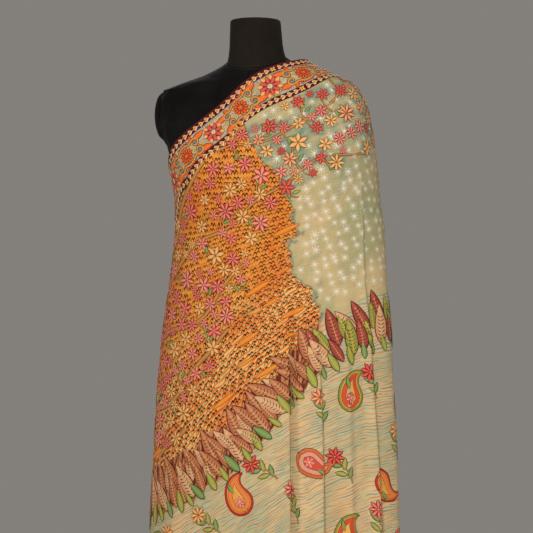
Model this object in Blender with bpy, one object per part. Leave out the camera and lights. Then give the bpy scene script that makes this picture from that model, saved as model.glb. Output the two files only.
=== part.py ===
"""A large shawl draped over one shoulder of a limbless dress form on a round stand.

Metres, +Z up, the form faces -Y, and the floor is z = 0 under the middle of the stand.
"""
import bpy
import numpy as np

TOP_Z = 1.612            # flat top of the neck
SEAM_GAP = 0.0003        # between neighbouring pieces
WALL = 0.0018            # cloth
LAP = 0.008              # the back fall stands off the wrap under it

NECK_BASE_Z = 1.530
NECK_TILT = 0.38         # rise of the neck seam per metre towards the back
NECK_LEAN = -0.008
NECK_ROUND = 0.004

ARMHOLE_X = 0.192        # flat plane that each shoulder cap sits on
CAP_Z = 1.4255
CAP_HALF_HEIGHT = 0.0485
CAP_HALF_DEPTH = 0.0425
CAP_BULGE = 0.0150

PLATE_THICK = 0.010
COLLAR_RADIUS = 0.028
COLLAR_HEIGHT = 0.048
POLE_RADIUS = 0.0125
BASE_RADIUS = 0.165
BASE_EDGE = 0.012
BASE_HEIGHT = 0.028
FLANGE_RADIUS = 0.036
FLANGE_TOP_Z = 0.046

FORM_SIDES = 44
ROUND_SIDES = 36
CLOTH_ROWS = 21
ROW_GRADING = 1.3
BASE_STEP = 7.0          # degrees between columns where the cloth is smooth
LEAST_STEP = 1.1
END_SPAN = 0.6           # degrees over which the slope at a stretch's end is taken

# Level sections, from the bottom up: reach to each side, front and back, and the power of the oval.
FORM_COLUMNS = ("z", "left", "right", "front", "back", "power")
FORM_SECTIONS = (
    (0.880, 0.166, 0.166, 0.108, 0.110, 2.3),
    (0.930, 0.168, 0.168, 0.110, 0.112, 2.3),
    (1.000, 0.160, 0.160, 0.107, 0.104, 2.2),
    (1.080, 0.147, 0.147, 0.098, 0.091, 2.2),
    (1.140, 0.140, 0.140, 0.093, 0.084, 2.2),
    (1.190, 0.146, 0.146, 0.100, 0.087, 2.2),
    (1.250, 0.153, 0.153, 0.120, 0.095, 2.3),
    (1.300, 0.161, 0.161, 0.129, 0.103, 2.4),
    (1.344, 0.1740, 0.1740, 0.120, 0.106, 2.6),
    (1.362, 0.1790, 0.1790, 0.115, 0.105, 2.7),
    (1.376, 0.1885, 0.1885, 0.110, 0.102, 2.9),
    (1.400, 0.1990, 0.1990, 0.102, 0.098, 3.0),
    (1.430, 0.1990, 0.1990, 0.092, 0.091, 3.0),
    (1.460, 0.1975, 0.1975, 0.080, 0.080, 3.0),
    (1.4756, 0.1895, 0.1895, 0.074, 0.075, 2.9),
    (1.490, 0.1535, 0.1535, 0.068, 0.070, 2.5),
    (1.508, 0.1045, 0.1045, 0.062, 0.066, 2.2),
    (1.5205, 0.0775, 0.0775, 0.0595, 0.0625, 2.1),
    (1.5297, 0.0630, 0.0630, 0.0570, 0.0590, 2.0),
)
# Neck sections: height from the seam to the top, half width, half depth.
NECK_COLUMNS = ("rise", "width", "depth")
NECK_SECTIONS = (
    (0.00, 0.0605, 0.0580),
    (0.12, 0.0568, 0.0555),
    (0.35, 0.0535, 0.0535),
    (0.75, 0.0515, 0.0525),
    (1.00, 0.0500, 0.0515),
)
CLOTH_COLUMNS = FORM_COLUMNS
CLOTH_SECTIONS = (
    (0.100, 0.2270, 0.2930, 0.1580, 0.1600, 2.10),
    (0.350, 0.2230, 0.2905, 0.1540, 0.1550, 2.10),
    (0.600, 0.2160, 0.2860, 0.1470, 0.1480, 2.10),
    (0.750, 0.2100, 0.2820, 0.1400, 0.1400, 2.10),
    (0.900, 0.2010, 0.2750, 0.1320, 0.1300, 2.10),
    (1.000, 0.1905, 0.2715, 0.1260, 0.1200, 2.15),
    (1.100, 0.1755, 0.2635, 0.1210, 0.1110, 2.15),
    (1.190, 0.1650, 0.2595, 0.1240, 0.1080, 2.20),
    (1.250, 0.1625, 0.2510, 0.1330, 0.1100, 2.30),
    (1.300, 0.1700, 0.2460, 0.1380, 0.1140, 2.40),
    (1.360, 0.1845, 0.2385, 0.1250, 0.1140, 2.70),
    (1.400, 0.2030, 0.2305, 0.1110, 0.1070, 2.90),
    (1.440, 0.2040, 0.2225, 0.0970, 0.0970, 2.90),
    (1.460, 0.2030, 0.2140, 0.0900, 0.0910, 2.80),
    (1.480, 0.2000, 0.1975, 0.0830, 0.0840, 2.80),
    (1.496, 0.2000, 0.1710, 0.0780, 0.0790, 2.50),
    (1.508, 0.2000, 0.1440, 0.0730, 0.0750, 2.30),
    (1.520, 0.2000, 0.1200, 0.0680, 0.0710, 2.10),
    (1.530, 0.2000, 0.1055, 0.0620, 0.0660, 2.00),
    (1.545, 0.2000, 0.0800, 0.0540, 0.0560, 2.00),
)
# The bordered edge and the hem, by the place round the wearer: 0 in front, 90 at the draped shoulder, 180 behind.
EDGE_COLUMNS = ("place", "top", "hem")
EDGES = (
    (-200.0, 1.382, 0.215),
    (-165.0, 1.364, 0.205),
    (-140.0, 1.316, 0.180),
    (-120.0, 1.276, 0.165),
    (-104.0, 1.260, 0.155),
    (-89.0, 1.270, 0.152),
    (-75.0, 1.303, 0.160),
    (-60.0, 1.349, 0.170),
    (-48.0, 1.381, 0.182),
    (-40.0, 1.4037, 0.192),
    (-28.0, 1.4332, 0.210),
    (-2.8, 1.4805, 0.255),
    (21.0, 1.5043, 0.305),
    (52.0, 1.5215, 0.375),
    (80.0, 1.5292, 0.425),
    (100.0, 1.5305, 0.440),
    (125.0, 1.5230, 0.432),
    (150.0, 1.4930, 0.400),
    (180.0, 1.4500, 0.352),
    (221.0, 1.3950, 0.290),
)
# Folds keep a place given at z = 0.6 and drift to another at z = 1.2.
DRIFT_COLUMNS = ("low", "high")
DRIFT = ((-205.0, -205.0), (0.0, 0.0), (39.2, 41.8), (53.8, 56.4), (68.0, 70.0), (78.0, 75.2), (92.0, 92.0), (225.0, 225.0))
DRIFT_LOW_Z = 0.6
DRIFT_HIGH_Z = 1.2
# One row per fold: place, where it starts and is full, its height, and its spread to each side in degrees.
FOLD_COLUMNS = ("place", "start", "full", "height", "before", "after")
FOLDS = (
    (-138.0, 1.25, 0.80, 0.0050, 6.0, 5.0),
    (-122.0, 1.20, 0.70, 0.0070, 5.0, 5.0),
    (-106.0, 1.15, 0.70, 0.0060, 6.0, 4.0),
    (-72.0, 1.05, 0.55, 0.0030, 7.0, 6.0),
    (-20.0, 1.00, 0.50, 0.0040, 11.0, 9.0),
    (12.0, 1.10, 0.60, 0.0040, 9.0, 11.0),
    (38.4, 1.20, 0.88, -0.0110, 6.0, 1.0),
    (41.6, 1.18, 0.85, 0.0090, 1.1, 6.0),
    (52.2, 1.06, 0.78, 0.0120, 6.5, 1.1),
    (55.4, 1.06, 0.78, -0.0070, 1.1, 5.0),
    (61.5, 1.36, 0.90, -0.0025, 2.6, 2.6),
    (68.8, 1.22, 0.80, -0.0030, 2.4, 2.8),
    (76.2, 1.42, 0.72, 0.0090, 7.0, 1.1),
    (79.2, 1.42, 0.72, -0.0070, 1.1, 4.5),
    (88.0, 1.25, 0.70, 0.0060, 4.0, 4.0),
    (97.0, 1.30, 0.75, -0.0070, 3.5, 3.0),
    (105.0, 1.40, 0.80, 0.0110, 4.5, 2.2),
    (111.0, 1.40, 0.80, -0.0060, 2.2, 4.0),
    (122.0, 1.42, 0.80, 0.0120, 5.5, 3.0),
    (136.0, 1.38, 0.75, 0.0110, 3.5, 5.0),
    (150.0, 1.36, 0.75, 0.0100, 5.5, 2.6),
    (164.0, 1.34, 0.70, 0.0110, 3.5, 5.0),
    (179.0, 1.30, 0.70, 0.0090, 5.0, 3.0),
    (194.0, 1.28, 0.70, 0.0080, 3.5, 5.0),
    (208.0, 1.25, 0.65, 0.0060, 4.0, 4.0),
)
# Each stretch of the cloth runs between two places; neighbours meet in a valley.
STRETCH_COLUMNS = ("start", "end")
STRETCHES = {
    "shawl_back_wrap": (-196.0, -96.0),
    "shawl_front": (-96.0, 39.3),
    "shawl_side_fall": (39.3, 99.0),
    "shawl_back_fall": (99.0, 219.0),
}
LAP_FROM = 118.0
LAP_TO = 148.0


def column(table, names, name):
    """One named column of a table as an array."""
    return np.array([row[names.index(name)] for row in table], float)


def smooth_through(x, y, at):
    """A smooth curve through the points that never overshoots them (monotone cubic)."""
    step = np.diff(x)
    slope = np.diff(y) / step
    tangent = np.zeros(len(x))
    tangent[0] = slope[0]
    tangent[-1] = slope[-1]
    first = 2 * step[1:] + step[:-1]
    second = step[1:] + 2 * step[:-1]
    same = slope[:-1] * slope[1:] > 0
    safe_a = np.where(same, slope[:-1], 1.0)
    safe_b = np.where(same, slope[1:], 1.0)
    tangent[1:-1] = np.where(same, (first + second) / (first / safe_a + second / safe_b), 0.0)
    i = np.clip(np.searchsorted(x, at) - 1, 0, len(x) - 2)
    h = step[i]
    t = np.clip((at - x[i]) / h, 0.0, 1.0)
    low = y[i] * (1 + 2 * t) * (1 - t) ** 2 + tangent[i] * h * t * (1 - t) ** 2
    high = y[i + 1] * t * t * (3 - 2 * t) + tangent[i + 1] * h * t * t * (t - 1)
    return low + high


def ease(value):
    """0 below 0, 1 above 1, smooth between."""
    t = np.clip(value, 0.0, 1.0)
    return t * t * (3 - 2 * t)


def oval_reach(angle, z, table, names):
    """Distance from the axis to the section at height z, in direction angle."""
    levels = column(table, names, "z")
    left, right, front, back, power = (
        smooth_through(levels, column(table, names, name), z) for name in names[1:]
    )
    side = np.where(np.sin(angle) > 0, right, left)
    deep = np.where(np.cos(angle) > 0, front, back)
    spread = np.abs(np.sin(angle) / side) ** power + np.abs(np.cos(angle) / deep) ** power
    return spread ** (-1.0 / power)


def around(angle, reach, z):
    """Points at that reach, with angle 0 at the front and growing towards +X."""
    return np.stack([reach * np.sin(angle), -reach * np.cos(angle), z + 0.0 * reach], -1)


# ---------------------------------------------------------------- cloth


def drifted(place, z):
    """Angle in degrees that a place has at height z."""
    low = column(DRIFT, DRIFT_COLUMNS, "low")
    high = column(DRIFT, DRIFT_COLUMNS, "high")
    share = np.clip((z - DRIFT_LOW_Z) / (DRIFT_HIGH_Z - DRIFT_LOW_Z), 0.0, 1.2)
    return place + share * np.interp(place, low, high - low)


def fold_height(place, z):
    """Sum of all folds: each rises to its ridge over one spread and drops over the other."""
    total = 0.0 * place * z
    for centre, start, full, height, before, after in FOLDS:
        away = place - centre
        spread = np.where(away < 0, before, after)
        total = total + height * ease((start - z) / (start - full)) * np.exp(-((away / spread) ** 2))
    return total


def cloth_point(place, z, folded=True):
    """Outer surface of the cloth at a place (degrees) and height: oval section, folds and lap."""
    angle = np.radians(drifted(place, z))
    reach = oval_reach(angle, z, CLOTH_SECTIONS, CLOTH_COLUMNS)
    if folded:
        reach = reach + fold_height(place, z) + LAP * ease((place - LAP_FROM) / (LAP_TO - LAP_FROM))
    return around(angle, reach, z)


def row_heights(places):
    """Heights of the rows of each column, spaced along the cloth from its top edge to its hem."""
    at = column(EDGES, EDGE_COLUMNS, "place")
    top = smooth_through(at, column(EDGES, EDGE_COLUMNS, "top"), places)
    hem = smooth_through(at, column(EDGES, EDGE_COLUMNS, "hem"), places)
    share = np.linspace(0.0, 1.0, 401)
    fine = top[:, None] + (hem - top)[:, None] * share ** 2
    run = cloth_point(places[:, None] + 0.0 * fine, fine, folded=False)
    length = np.linalg.norm(np.diff(run, axis=1), axis=2).cumsum(axis=1)
    length = np.hstack([np.zeros((len(places), 1)), length])
    want = np.linspace(0.0, 1.0, CLOTH_ROWS + 1) ** ROW_GRADING
    return np.array([np.interp(want * line[-1], line, z) for line, z in zip(length, fine)])


def fold_columns(start, end):
    """Places of the columns of a stretch: on each fold's ridge and feet, and BASE_STEP apart elsewhere."""
    wanted = [start, end]
    for centre, _, _, _, before, after in FOLDS:
        wanted += [centre - 1.4 * before, centre, centre + 1.4 * after]
    wanted = sorted(place for place in wanted if start <= place <= end)
    kept = [start]
    for place in wanted[1:-1]:
        if place - kept[-1] > LEAST_STEP and end - place > LEAST_STEP:
            kept.append(place)
    kept.append(end)
    filled = [start]
    for place in kept[1:]:
        pieces = max(1, int(np.ceil((place - filled[-1]) / BASE_STEP)))
        filled += list(np.linspace(filled[-1], place, pieces + 1)[1:])
    return np.array(filled)


def wall_grid(outer, end_slopes):
    """The same grid moved inwards by the cloth's thickness; stretches that meet share the slopes at their ends."""
    along = np.gradient(outer, axis=0)
    along[0], along[-1] = end_slopes
    down = np.gradient(outer, axis=1)
    normal = np.cross(down, along)
    normal /= np.linalg.norm(normal, axis=2, keepdims=True)
    return outer - WALL * normal


def shell(stretch):
    """Vertices and faces of a closed wall under an open grid."""
    outer, end_slopes = stretch
    columns, rows = outer.shape[:2]
    inner = wall_grid(outer, end_slopes)
    vertices = np.vstack([outer.reshape(-1, 3), inner.reshape(-1, 3)])
    index = np.arange(columns * rows).reshape(columns, rows)
    back = index + columns * rows
    a, b, c, d = index[:-1, :-1], index[1:, :-1], index[1:, 1:], index[:-1, 1:]
    front_faces = np.stack([a, d, c, b], -1).reshape(-1, 4)
    back_faces = np.stack([a, b, c, d], -1).reshape(-1, 4) + columns * rows
    rims = []
    for line, under, turned in (
        (index[:, 0], back[:, 0], True),
        (index[:, -1], back[:, -1], False),
        (index[0, :], back[0, :], False),
        (index[-1, :], back[-1, :], True),
    ):
        quad = np.stack([line[:-1], line[1:], under[1:], under[:-1]], -1)
        rims.append(quad if turned else quad[:, ::-1])
    return vertices, np.vstack([front_faces, back_faces] + rims)


def stretch_grid(start, end):
    """Outer surface of one stretch, short of each neighbour by half a seam gap, and the slopes at its ends."""
    half = np.degrees(SEAM_GAP / 2 / 0.17)
    places = fold_columns(start + half, end - half)
    heights = row_heights(places)
    outer = cloth_point(places[:, None] + 0.0 * heights, heights)
    slopes = []
    for place in (start, end):
        sides = row_heights(np.array([place - END_SPAN, place + END_SPAN]))
        before, after = (cloth_point(place + step, z) for step, z in zip((-END_SPAN, END_SPAN), sides))
        slopes.append(after - before)
    return outer, slopes


# ---------------------------------------------------------------- form and stand


def loft(rings):
    """Closed body through rings of equal count, with flat ends; rings run from the bottom up."""
    rings = np.asarray(rings, float)
    count, sides = rings.shape[:2]
    index = np.arange(count * sides).reshape(count, sides)
    ahead = np.roll(index, -1, axis=1)
    faces = np.stack([index[:-1], ahead[:-1], ahead[1:], index[1:]], -1).reshape(-1, 4).tolist()
    faces.append(index[0][::-1].tolist())
    faces.append(index[-1].tolist())
    return rings.reshape(-1, 3), faces


def circle_angles(sides):
    return np.linspace(0.0, 2 * np.pi, sides, endpoint=False)


def form_torso():
    """Stack of ovals with flat armhole planes and a tilted neck seam."""
    levels = column(FORM_SECTIONS, FORM_COLUMNS, "z")
    between = (levels[:-1] + levels[1:]) / 2
    wide = np.diff(levels) > 0.035
    levels = np.sort(np.concatenate([levels, between[wide]]))
    angles = circle_angles(FORM_SIDES)
    rings = []
    for z in levels:
        reach = oval_reach(angles, z, FORM_SECTIONS, FORM_COLUMNS)
        ring = around(angles, reach, z)
        ring[:, 0] = np.clip(ring[:, 0], -ARMHOLE_X, ARMHOLE_X)
        ring[:, 2] += NECK_TILT * ring[:, 1] * ease((z - 1.480) / (levels[-1] - 1.480))
        rings.append(ring)
    return loft(rings)


def form_neck():
    """Cap of the neck: from the tilted seam to a flat round top that leans forward."""
    angles = circle_angles(FORM_SIDES)
    rise = column(NECK_SECTIONS, NECK_COLUMNS, "rise")
    wide = column(NECK_SECTIONS, NECK_COLUMNS, "width")
    deep = column(NECK_SECTIONS, NECK_COLUMNS, "depth")
    rings = []
    for share in (0.0, 0.08, 0.2, 0.4, 0.65, 0.9, 0.958):
        x = smooth_through(rise, wide, share) * np.sin(angles)
        y = -smooth_through(rise, deep, share) * np.cos(angles)
        base = NECK_BASE_Z + SEAM_GAP + NECK_TILT * y
        z = base * (1 - share) + TOP_Z * share
        rings.append(np.stack([x, y + NECK_LEAN * share, z], -1))
    for turn in (30.0, 60.0, 90.0):
        inset = NECK_ROUND * (1 - np.cos(np.radians(turn)))
        x = (wide[-1] - inset) * np.sin(angles)
        y = -(deep[-1] - inset) * np.cos(angles) + NECK_LEAN
        rings.append(np.stack([x, y, TOP_Z - NECK_ROUND * (1 - np.sin(np.radians(turn))) + 0.0 * x], -1))
    return loft(rings)


def form_cap(side):
    """Domed plate over one armhole."""
    angles = circle_angles(ROUND_SIDES)
    rings = []
    for lift, size in ((0.0, 1.0), (0.25, 0.985), (0.55, 0.90), (0.80, 0.72), (0.95, 0.42), (1.0, 0.12)):
        x = np.full(ROUND_SIDES, side * (ARMHOLE_X + SEAM_GAP + CAP_BULGE * lift))
        y = side * CAP_HALF_DEPTH * size * np.cos(angles)
        z = CAP_Z + CAP_HALF_HEIGHT * size * np.sin(angles)
        rings.append(np.stack([x, y, z], -1))
    return loft(rings)


def form_bottom():
    """Flat plate under the torso."""
    angles = circle_angles(FORM_SIDES)
    low = FORM_SECTIONS[0][0] - SEAM_GAP
    reach = oval_reach(angles, FORM_SECTIONS[0][0], FORM_SECTIONS, FORM_COLUMNS)
    sizes = ((low - PLATE_THICK, 0.970), (low - 0.003, 0.990), (low, 0.990))
    return loft([around(angles, reach * size, z) for z, size in sizes])


def turned(profile):
    """Round body from (radius, height) pairs, from the bottom up."""
    angles = circle_angles(ROUND_SIDES)
    return loft([around(angles, np.full(ROUND_SIDES, radius), height) for radius, height in profile])


def stand_collar():
    top = FORM_SECTIONS[0][0] - 2 * SEAM_GAP - PLATE_THICK
    return turned((
        (COLLAR_RADIUS - 0.004, top - COLLAR_HEIGHT),
        (COLLAR_RADIUS, top - COLLAR_HEIGHT + 0.004),
        (COLLAR_RADIUS, top),
    ))


def stand_pole():
    top = FORM_SECTIONS[0][0] - 3 * SEAM_GAP - PLATE_THICK - COLLAR_HEIGHT
    return turned(((POLE_RADIUS, FLANGE_TOP_Z + SEAM_GAP), (POLE_RADIUS, top)))


def stand_base():
    return turned((
        (BASE_RADIUS - 0.003, 0.0),
        (BASE_RADIUS, 0.003),
        (BASE_RADIUS, BASE_EDGE - 0.003),
        (BASE_RADIUS - 0.004, BASE_EDGE),
        (0.110, 0.020),
        (0.050, BASE_HEIGHT),
        (FLANGE_RADIUS, BASE_HEIGHT + 0.002),
        (FLANGE_RADIUS, FLANGE_TOP_Z - 0.003),
        (FLANGE_RADIUS - 0.003, FLANGE_TOP_Z),
    ))


# ---------------------------------------------------------------- materials and scene


def material(name, colour, rough, metal=0.0):
    made = bpy.data.materials.new(name)
    made.use_nodes = True
    shader = made.node_tree.nodes["Principled BSDF"]
    shader.inputs["Base Color"].default_value = (*colour, 1.0)
    shader.inputs["Roughness"].default_value = rough
    shader.inputs["Metallic"].default_value = metal
    return made


def add(name, body, look):
    vertices, faces = body
    mesh = bpy.data.meshes.new(name)
    mesh.from_pydata([tuple(point) for point in vertices], [], [tuple(face) for face in faces])
    mesh.materials.append(look)
    mesh.update()
    made = bpy.data.objects.new(name, mesh)
    bpy.context.scene.collection.objects.link(made)
    return made


def main():
    for old in list(bpy.data.objects):
        bpy.data.objects.remove(old)
    add("form_torso", form_torso(), material("torso_cover", (0.035, 0.035, 0.038), 0.85))
    add("form_neck", form_neck(), material("neck_cover", (0.030, 0.030, 0.033), 0.80))
    add("form_cap_right", form_cap(-1.0), material("cap_cover_right", (0.030, 0.030, 0.033), 0.80))
    add("form_cap_left", form_cap(1.0), material("cap_cover_left", (0.030, 0.030, 0.033), 0.80))
    add("form_bottom", form_bottom(), material("plate", (0.030, 0.030, 0.033), 0.60))
    add("stand_collar", stand_collar(), material("collar_metal", (0.040, 0.040, 0.042), 0.40, 1.0))
    add("stand_pole", stand_pole(), material("pole_metal", (0.040, 0.040, 0.042), 0.35, 1.0))
    add("stand_base", stand_base(), material("base_paint", (0.030, 0.030, 0.032), 0.45))
    for name, (start, end) in STRETCHES.items():
        look = material(name + "_cloth", (0.80, 0.52, 0.25), 0.80)
        add(name, shell(stretch_grid(start, end)), look)


main()
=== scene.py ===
"""Dressed look of a bordered pashmina shawl on a limbless dress form with a round stand."""
import functools
import math
from collections import namedtuple

import bpy
import numpy as np
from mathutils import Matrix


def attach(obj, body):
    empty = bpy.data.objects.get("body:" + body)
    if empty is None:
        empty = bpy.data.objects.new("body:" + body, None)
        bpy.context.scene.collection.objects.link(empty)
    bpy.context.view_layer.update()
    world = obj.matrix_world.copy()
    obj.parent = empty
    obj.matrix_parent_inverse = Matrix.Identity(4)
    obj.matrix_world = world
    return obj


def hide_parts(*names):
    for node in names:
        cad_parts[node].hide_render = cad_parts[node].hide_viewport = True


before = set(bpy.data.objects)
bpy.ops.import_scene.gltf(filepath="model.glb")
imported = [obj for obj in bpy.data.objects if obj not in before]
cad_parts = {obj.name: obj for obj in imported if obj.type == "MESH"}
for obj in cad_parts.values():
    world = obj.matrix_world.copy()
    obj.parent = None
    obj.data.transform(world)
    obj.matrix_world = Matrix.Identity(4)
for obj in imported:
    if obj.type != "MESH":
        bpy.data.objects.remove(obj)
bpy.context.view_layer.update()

bl_info = {
    "name": "Draped pashmina shawl",
    "version": (1, 0, 0),
    "blender": (4, 5, 0),
    "location": "View3D > Sidebar > Shawl",
    "description": "Builds an embroidered shawl draped over a dress form, with its stage",
    "category": "Object",
}

# ---------------------------------------------------------------- the draped surface

CLOTH_COLUMNS = ("z", "left", "right", "front", "back", "power")
CLOTH_SECTIONS = (
    (0.100, 0.2270, 0.2930, 0.1580, 0.1600, 2.10),
    (0.350, 0.2230, 0.2905, 0.1540, 0.1550, 2.10),
    (0.600, 0.2160, 0.2860, 0.1470, 0.1480, 2.10),
    (0.750, 0.2100, 0.2820, 0.1400, 0.1400, 2.10),
    (0.900, 0.2010, 0.2750, 0.1320, 0.1300, 2.10),
    (1.000, 0.1905, 0.2715, 0.1260, 0.1200, 2.15),
    (1.100, 0.1755, 0.2635, 0.1210, 0.1110, 2.15),
    (1.190, 0.1650, 0.2595, 0.1240, 0.1080, 2.20),
    (1.250, 0.1625, 0.2510, 0.1330, 0.1100, 2.30),
    (1.300, 0.1700, 0.2460, 0.1380, 0.1140, 2.40),
    (1.360, 0.1845, 0.2385, 0.1250, 0.1140, 2.70),
    (1.400, 0.2030, 0.2305, 0.1110, 0.1070, 2.90),
    (1.440, 0.2040, 0.2225, 0.0970, 0.0970, 2.90),
    (1.460, 0.2030, 0.2140, 0.0900, 0.0910, 2.80),
    (1.480, 0.2000, 0.1975, 0.0830, 0.0840, 2.80),
    (1.496, 0.2000, 0.1710, 0.0780, 0.0790, 2.50),
    (1.508, 0.2000, 0.1440, 0.0730, 0.0750, 2.30),
    (1.520, 0.2000, 0.1200, 0.0680, 0.0710, 2.10),
    (1.530, 0.2000, 0.1055, 0.0620, 0.0660, 2.00),
    (1.545, 0.2000, 0.0800, 0.0540, 0.0560, 2.00),
)
EDGE_COLUMNS = ("place", "top", "hem")
EDGES = (
    (-200.0, 1.382, 0.215),
    (-165.0, 1.364, 0.205),
    (-140.0, 1.316, 0.180),
    (-120.0, 1.276, 0.165),
    (-104.0, 1.260, 0.155),
    (-89.0, 1.270, 0.152),
    (-75.0, 1.303, 0.160),
    (-60.0, 1.349, 0.170),
    (-48.0, 1.381, 0.182),
    (-40.0, 1.4037, 0.192),
    (-28.0, 1.4332, 0.210),
    (-2.8, 1.4805, 0.255),
    (21.0, 1.5043, 0.305),
    (52.0, 1.5215, 0.375),
    (80.0, 1.5292, 0.425),
    (100.0, 1.5305, 0.440),
    (125.0, 1.5230, 0.432),
    (150.0, 1.4930, 0.400),
    (180.0, 1.4500, 0.352),
    (221.0, 1.3950, 0.290),
)
DRIFT_COLUMNS = ("low", "high")
DRIFT = (
    (-205.0, -205.0),
    (0.0, 0.0),
    (39.2, 41.8),
    (53.8, 56.4),
    (68.0, 70.0),
    (78.0, 75.2),
    (92.0, 92.0),
    (225.0, 225.0),
)
DRIFT_LOW_Z = 0.6
DRIFT_HIGH_Z = 1.2
# One row per fold: place, where it starts and is full, its height, and its spread to each side in degrees.
FOLDS = (
    (-138.0, 1.25, 0.80, 0.0050, 6.0, 5.0),
    (-122.0, 1.20, 0.70, 0.0070, 5.0, 5.0),
    (-106.0, 1.15, 0.70, 0.0060, 6.0, 4.0),
    (-72.0, 1.05, 0.55, 0.0030, 7.0, 6.0),
    (-20.0, 1.00, 0.50, 0.0040, 11.0, 9.0),
    (12.0, 1.10, 0.60, 0.0040, 9.0, 11.0),
    (38.4, 1.20, 0.88, -0.0110, 6.0, 1.0),
    (37.9, 1.10, 0.88, 0.0070, 5.0, 0.8),
    (39.9, 1.10, 0.88, -0.0160, 1.1, 0.7),
    (41.6, 1.18, 0.85, 0.0090, 1.1, 6.0),
    (52.2, 1.06, 0.78, 0.0120, 6.5, 1.1),
    (55.4, 1.06, 0.78, -0.0070, 1.1, 5.0),
    (61.5, 1.36, 0.90, -0.0025, 2.6, 2.6),
    (64.6, 1.16, 0.86, 0.0040, 2.0, 1.8),
    (68.8, 1.22, 0.80, -0.0050, 2.4, 2.8),
    (73.6, 1.28, 0.82, -0.0110, 3.6, 1.2),
    (76.2, 1.42, 0.72, 0.0090, 7.0, 1.1),
    (79.2, 1.42, 0.72, -0.0070, 1.1, 4.5),
    (88.0, 1.25, 0.70, 0.0060, 4.0, 4.0),
    (97.0, 1.30, 0.75, -0.0070, 3.5, 3.0),
    (105.0, 1.40, 0.80, 0.0110, 4.5, 2.2),
    (111.0, 1.40, 0.80, -0.0060, 2.2, 4.0),
    (122.0, 1.42, 0.80, 0.0120, 5.5, 3.0),
    (136.0, 1.38, 0.75, 0.0110, 3.5, 5.0),
    (150.0, 1.36, 0.75, 0.0100, 5.5, 2.6),
    (164.0, 1.34, 0.70, 0.0110, 3.5, 5.0),
    (179.0, 1.30, 0.70, 0.0090, 5.0, 3.0),
    (194.0, 1.28, 0.70, 0.0080, 3.5, 5.0),
    (208.0, 1.25, 0.65, 0.0060, 4.0, 4.0),
)
# Soft creases: place and height of both ends, rise, and spread in metres.
CREASES = (
    (-62.0, 1.300, -8.0, 1.372, 0.0016, 0.013),
    (-70.0, 1.262, -20.0, 1.318, -0.0012, 0.015),
    (-58.0, 1.215, -14.0, 1.236, 0.0012, 0.016),
    (-50.0, 1.120, 2.0, 1.010, 0.0012, 0.022),
    (-30.0, 0.980, 10.0, 0.760, -0.0013, 0.024),
    (14.0, 1.430, 30.0, 1.250, 0.0011, 0.014),
    (24.0, 1.455, 46.0, 1.240, -0.0013, 0.012),
    (40.0, 1.475, 57.0, 1.300, 0.0012, 0.011),
    (62.0, 1.485, 66.0, 1.330, 0.0013, 0.010),
    (84.0, 1.490, 88.0, 1.300, -0.0011, 0.010),
    (112.0, 1.480, 116.0, 1.250, -0.0014, 0.012),
    (128.0, 1.470, 130.0, 1.220, 0.0014, 0.013),
    (143.0, 1.450, 143.0, 1.200, -0.0014, 0.013),
    (158.0, 1.420, 157.0, 1.180, 0.0013, 0.014),
    (172.0, 1.400, 171.0, 1.160, -0.0012, 0.014),
    (-150.0, 1.300, -128.0, 1.120, 0.0014, 0.015),
    (-116.0, 1.290, -110.0, 1.090, -0.0013, 0.013),
    (-96.0, 1.240, -88.0, 1.030, 0.0012, 0.015),
)
LAP = 0.008
LAP_FROM = 118.0
LAP_TO = 148.0
START_PLACE = -196.0
END_PLACE = 219.0
MEAN_RADIUS = 0.225

PLACE_STEP = 0.25
FULL_DOWN = 1.2          # depth of the hem; the top edge is at depth 0
DOWN_STEP = 0.004
RUN_STEP = 0.0015
HEIGHT_SAMPLES = 401
LEAN_LIMITS = (0.85, 2.45)      # radians between the grain and a column
LEAN_BLUR = 10
PLACE_NUDGE = 0.12
HEIGHT_NUDGE = 0.001


def column(table, names, name):
    """One named column of a table as an array."""
    return np.array([row[names.index(name)] for row in table], float)


def smooth_through(x, y, at):
    """A smooth curve through the points that never overshoots them (monotone cubic)."""
    step = np.diff(x)
    slope = np.diff(y) / step
    tangent = np.zeros(len(x))
    tangent[0] = slope[0]
    tangent[-1] = slope[-1]
    first = 2 * step[1:] + step[:-1]
    second = step[1:] + 2 * step[:-1]
    same = slope[:-1] * slope[1:] > 0
    safe_a = np.where(same, slope[:-1], 1.0)
    safe_b = np.where(same, slope[1:], 1.0)
    tangent[1:-1] = np.where(same, (first + second) / (first / safe_a + second / safe_b), 0.0)
    i = np.clip(np.searchsorted(x, at) - 1, 0, len(x) - 2)
    h = step[i]
    t = np.clip((at - x[i]) / h, 0.0, 1.0)
    low = y[i] * (1 + 2 * t) * (1 - t) ** 2 + tangent[i] * h * t * (1 - t) ** 2
    high = y[i + 1] * t * t * (3 - 2 * t) + tangent[i + 1] * h * t * t * (t - 1)
    return low + high


def ease(value):
    """0 below 0, 1 above 1, smooth between."""
    t = np.clip(value, 0.0, 1.0)
    return t * t * (3 - 2 * t)


def oval_reach(angle, z):
    """Distance from the axis to the cloth's oval section at height z, in direction angle."""
    levels = column(CLOTH_SECTIONS, CLOTH_COLUMNS, "z")
    left, right, front, back, power = (
        smooth_through(levels, column(CLOTH_SECTIONS, CLOTH_COLUMNS, name), z)
        for name in CLOTH_COLUMNS[1:]
    )
    side = np.where(np.sin(angle) > 0, right, left)
    deep = np.where(np.cos(angle) > 0, front, back)
    spread = np.abs(np.sin(angle) / side) ** power + np.abs(np.cos(angle) / deep) ** power
    return spread ** (-1.0 / power)


def drifted(place, z):
    """Angle in degrees that a place has at height z."""
    low = column(DRIFT, DRIFT_COLUMNS, "low")
    high = column(DRIFT, DRIFT_COLUMNS, "high")
    share = np.clip((z - DRIFT_LOW_Z) / (DRIFT_HIGH_Z - DRIFT_LOW_Z), 0.0, 1.2)
    return place + share * np.interp(place, low, high - low)


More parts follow.
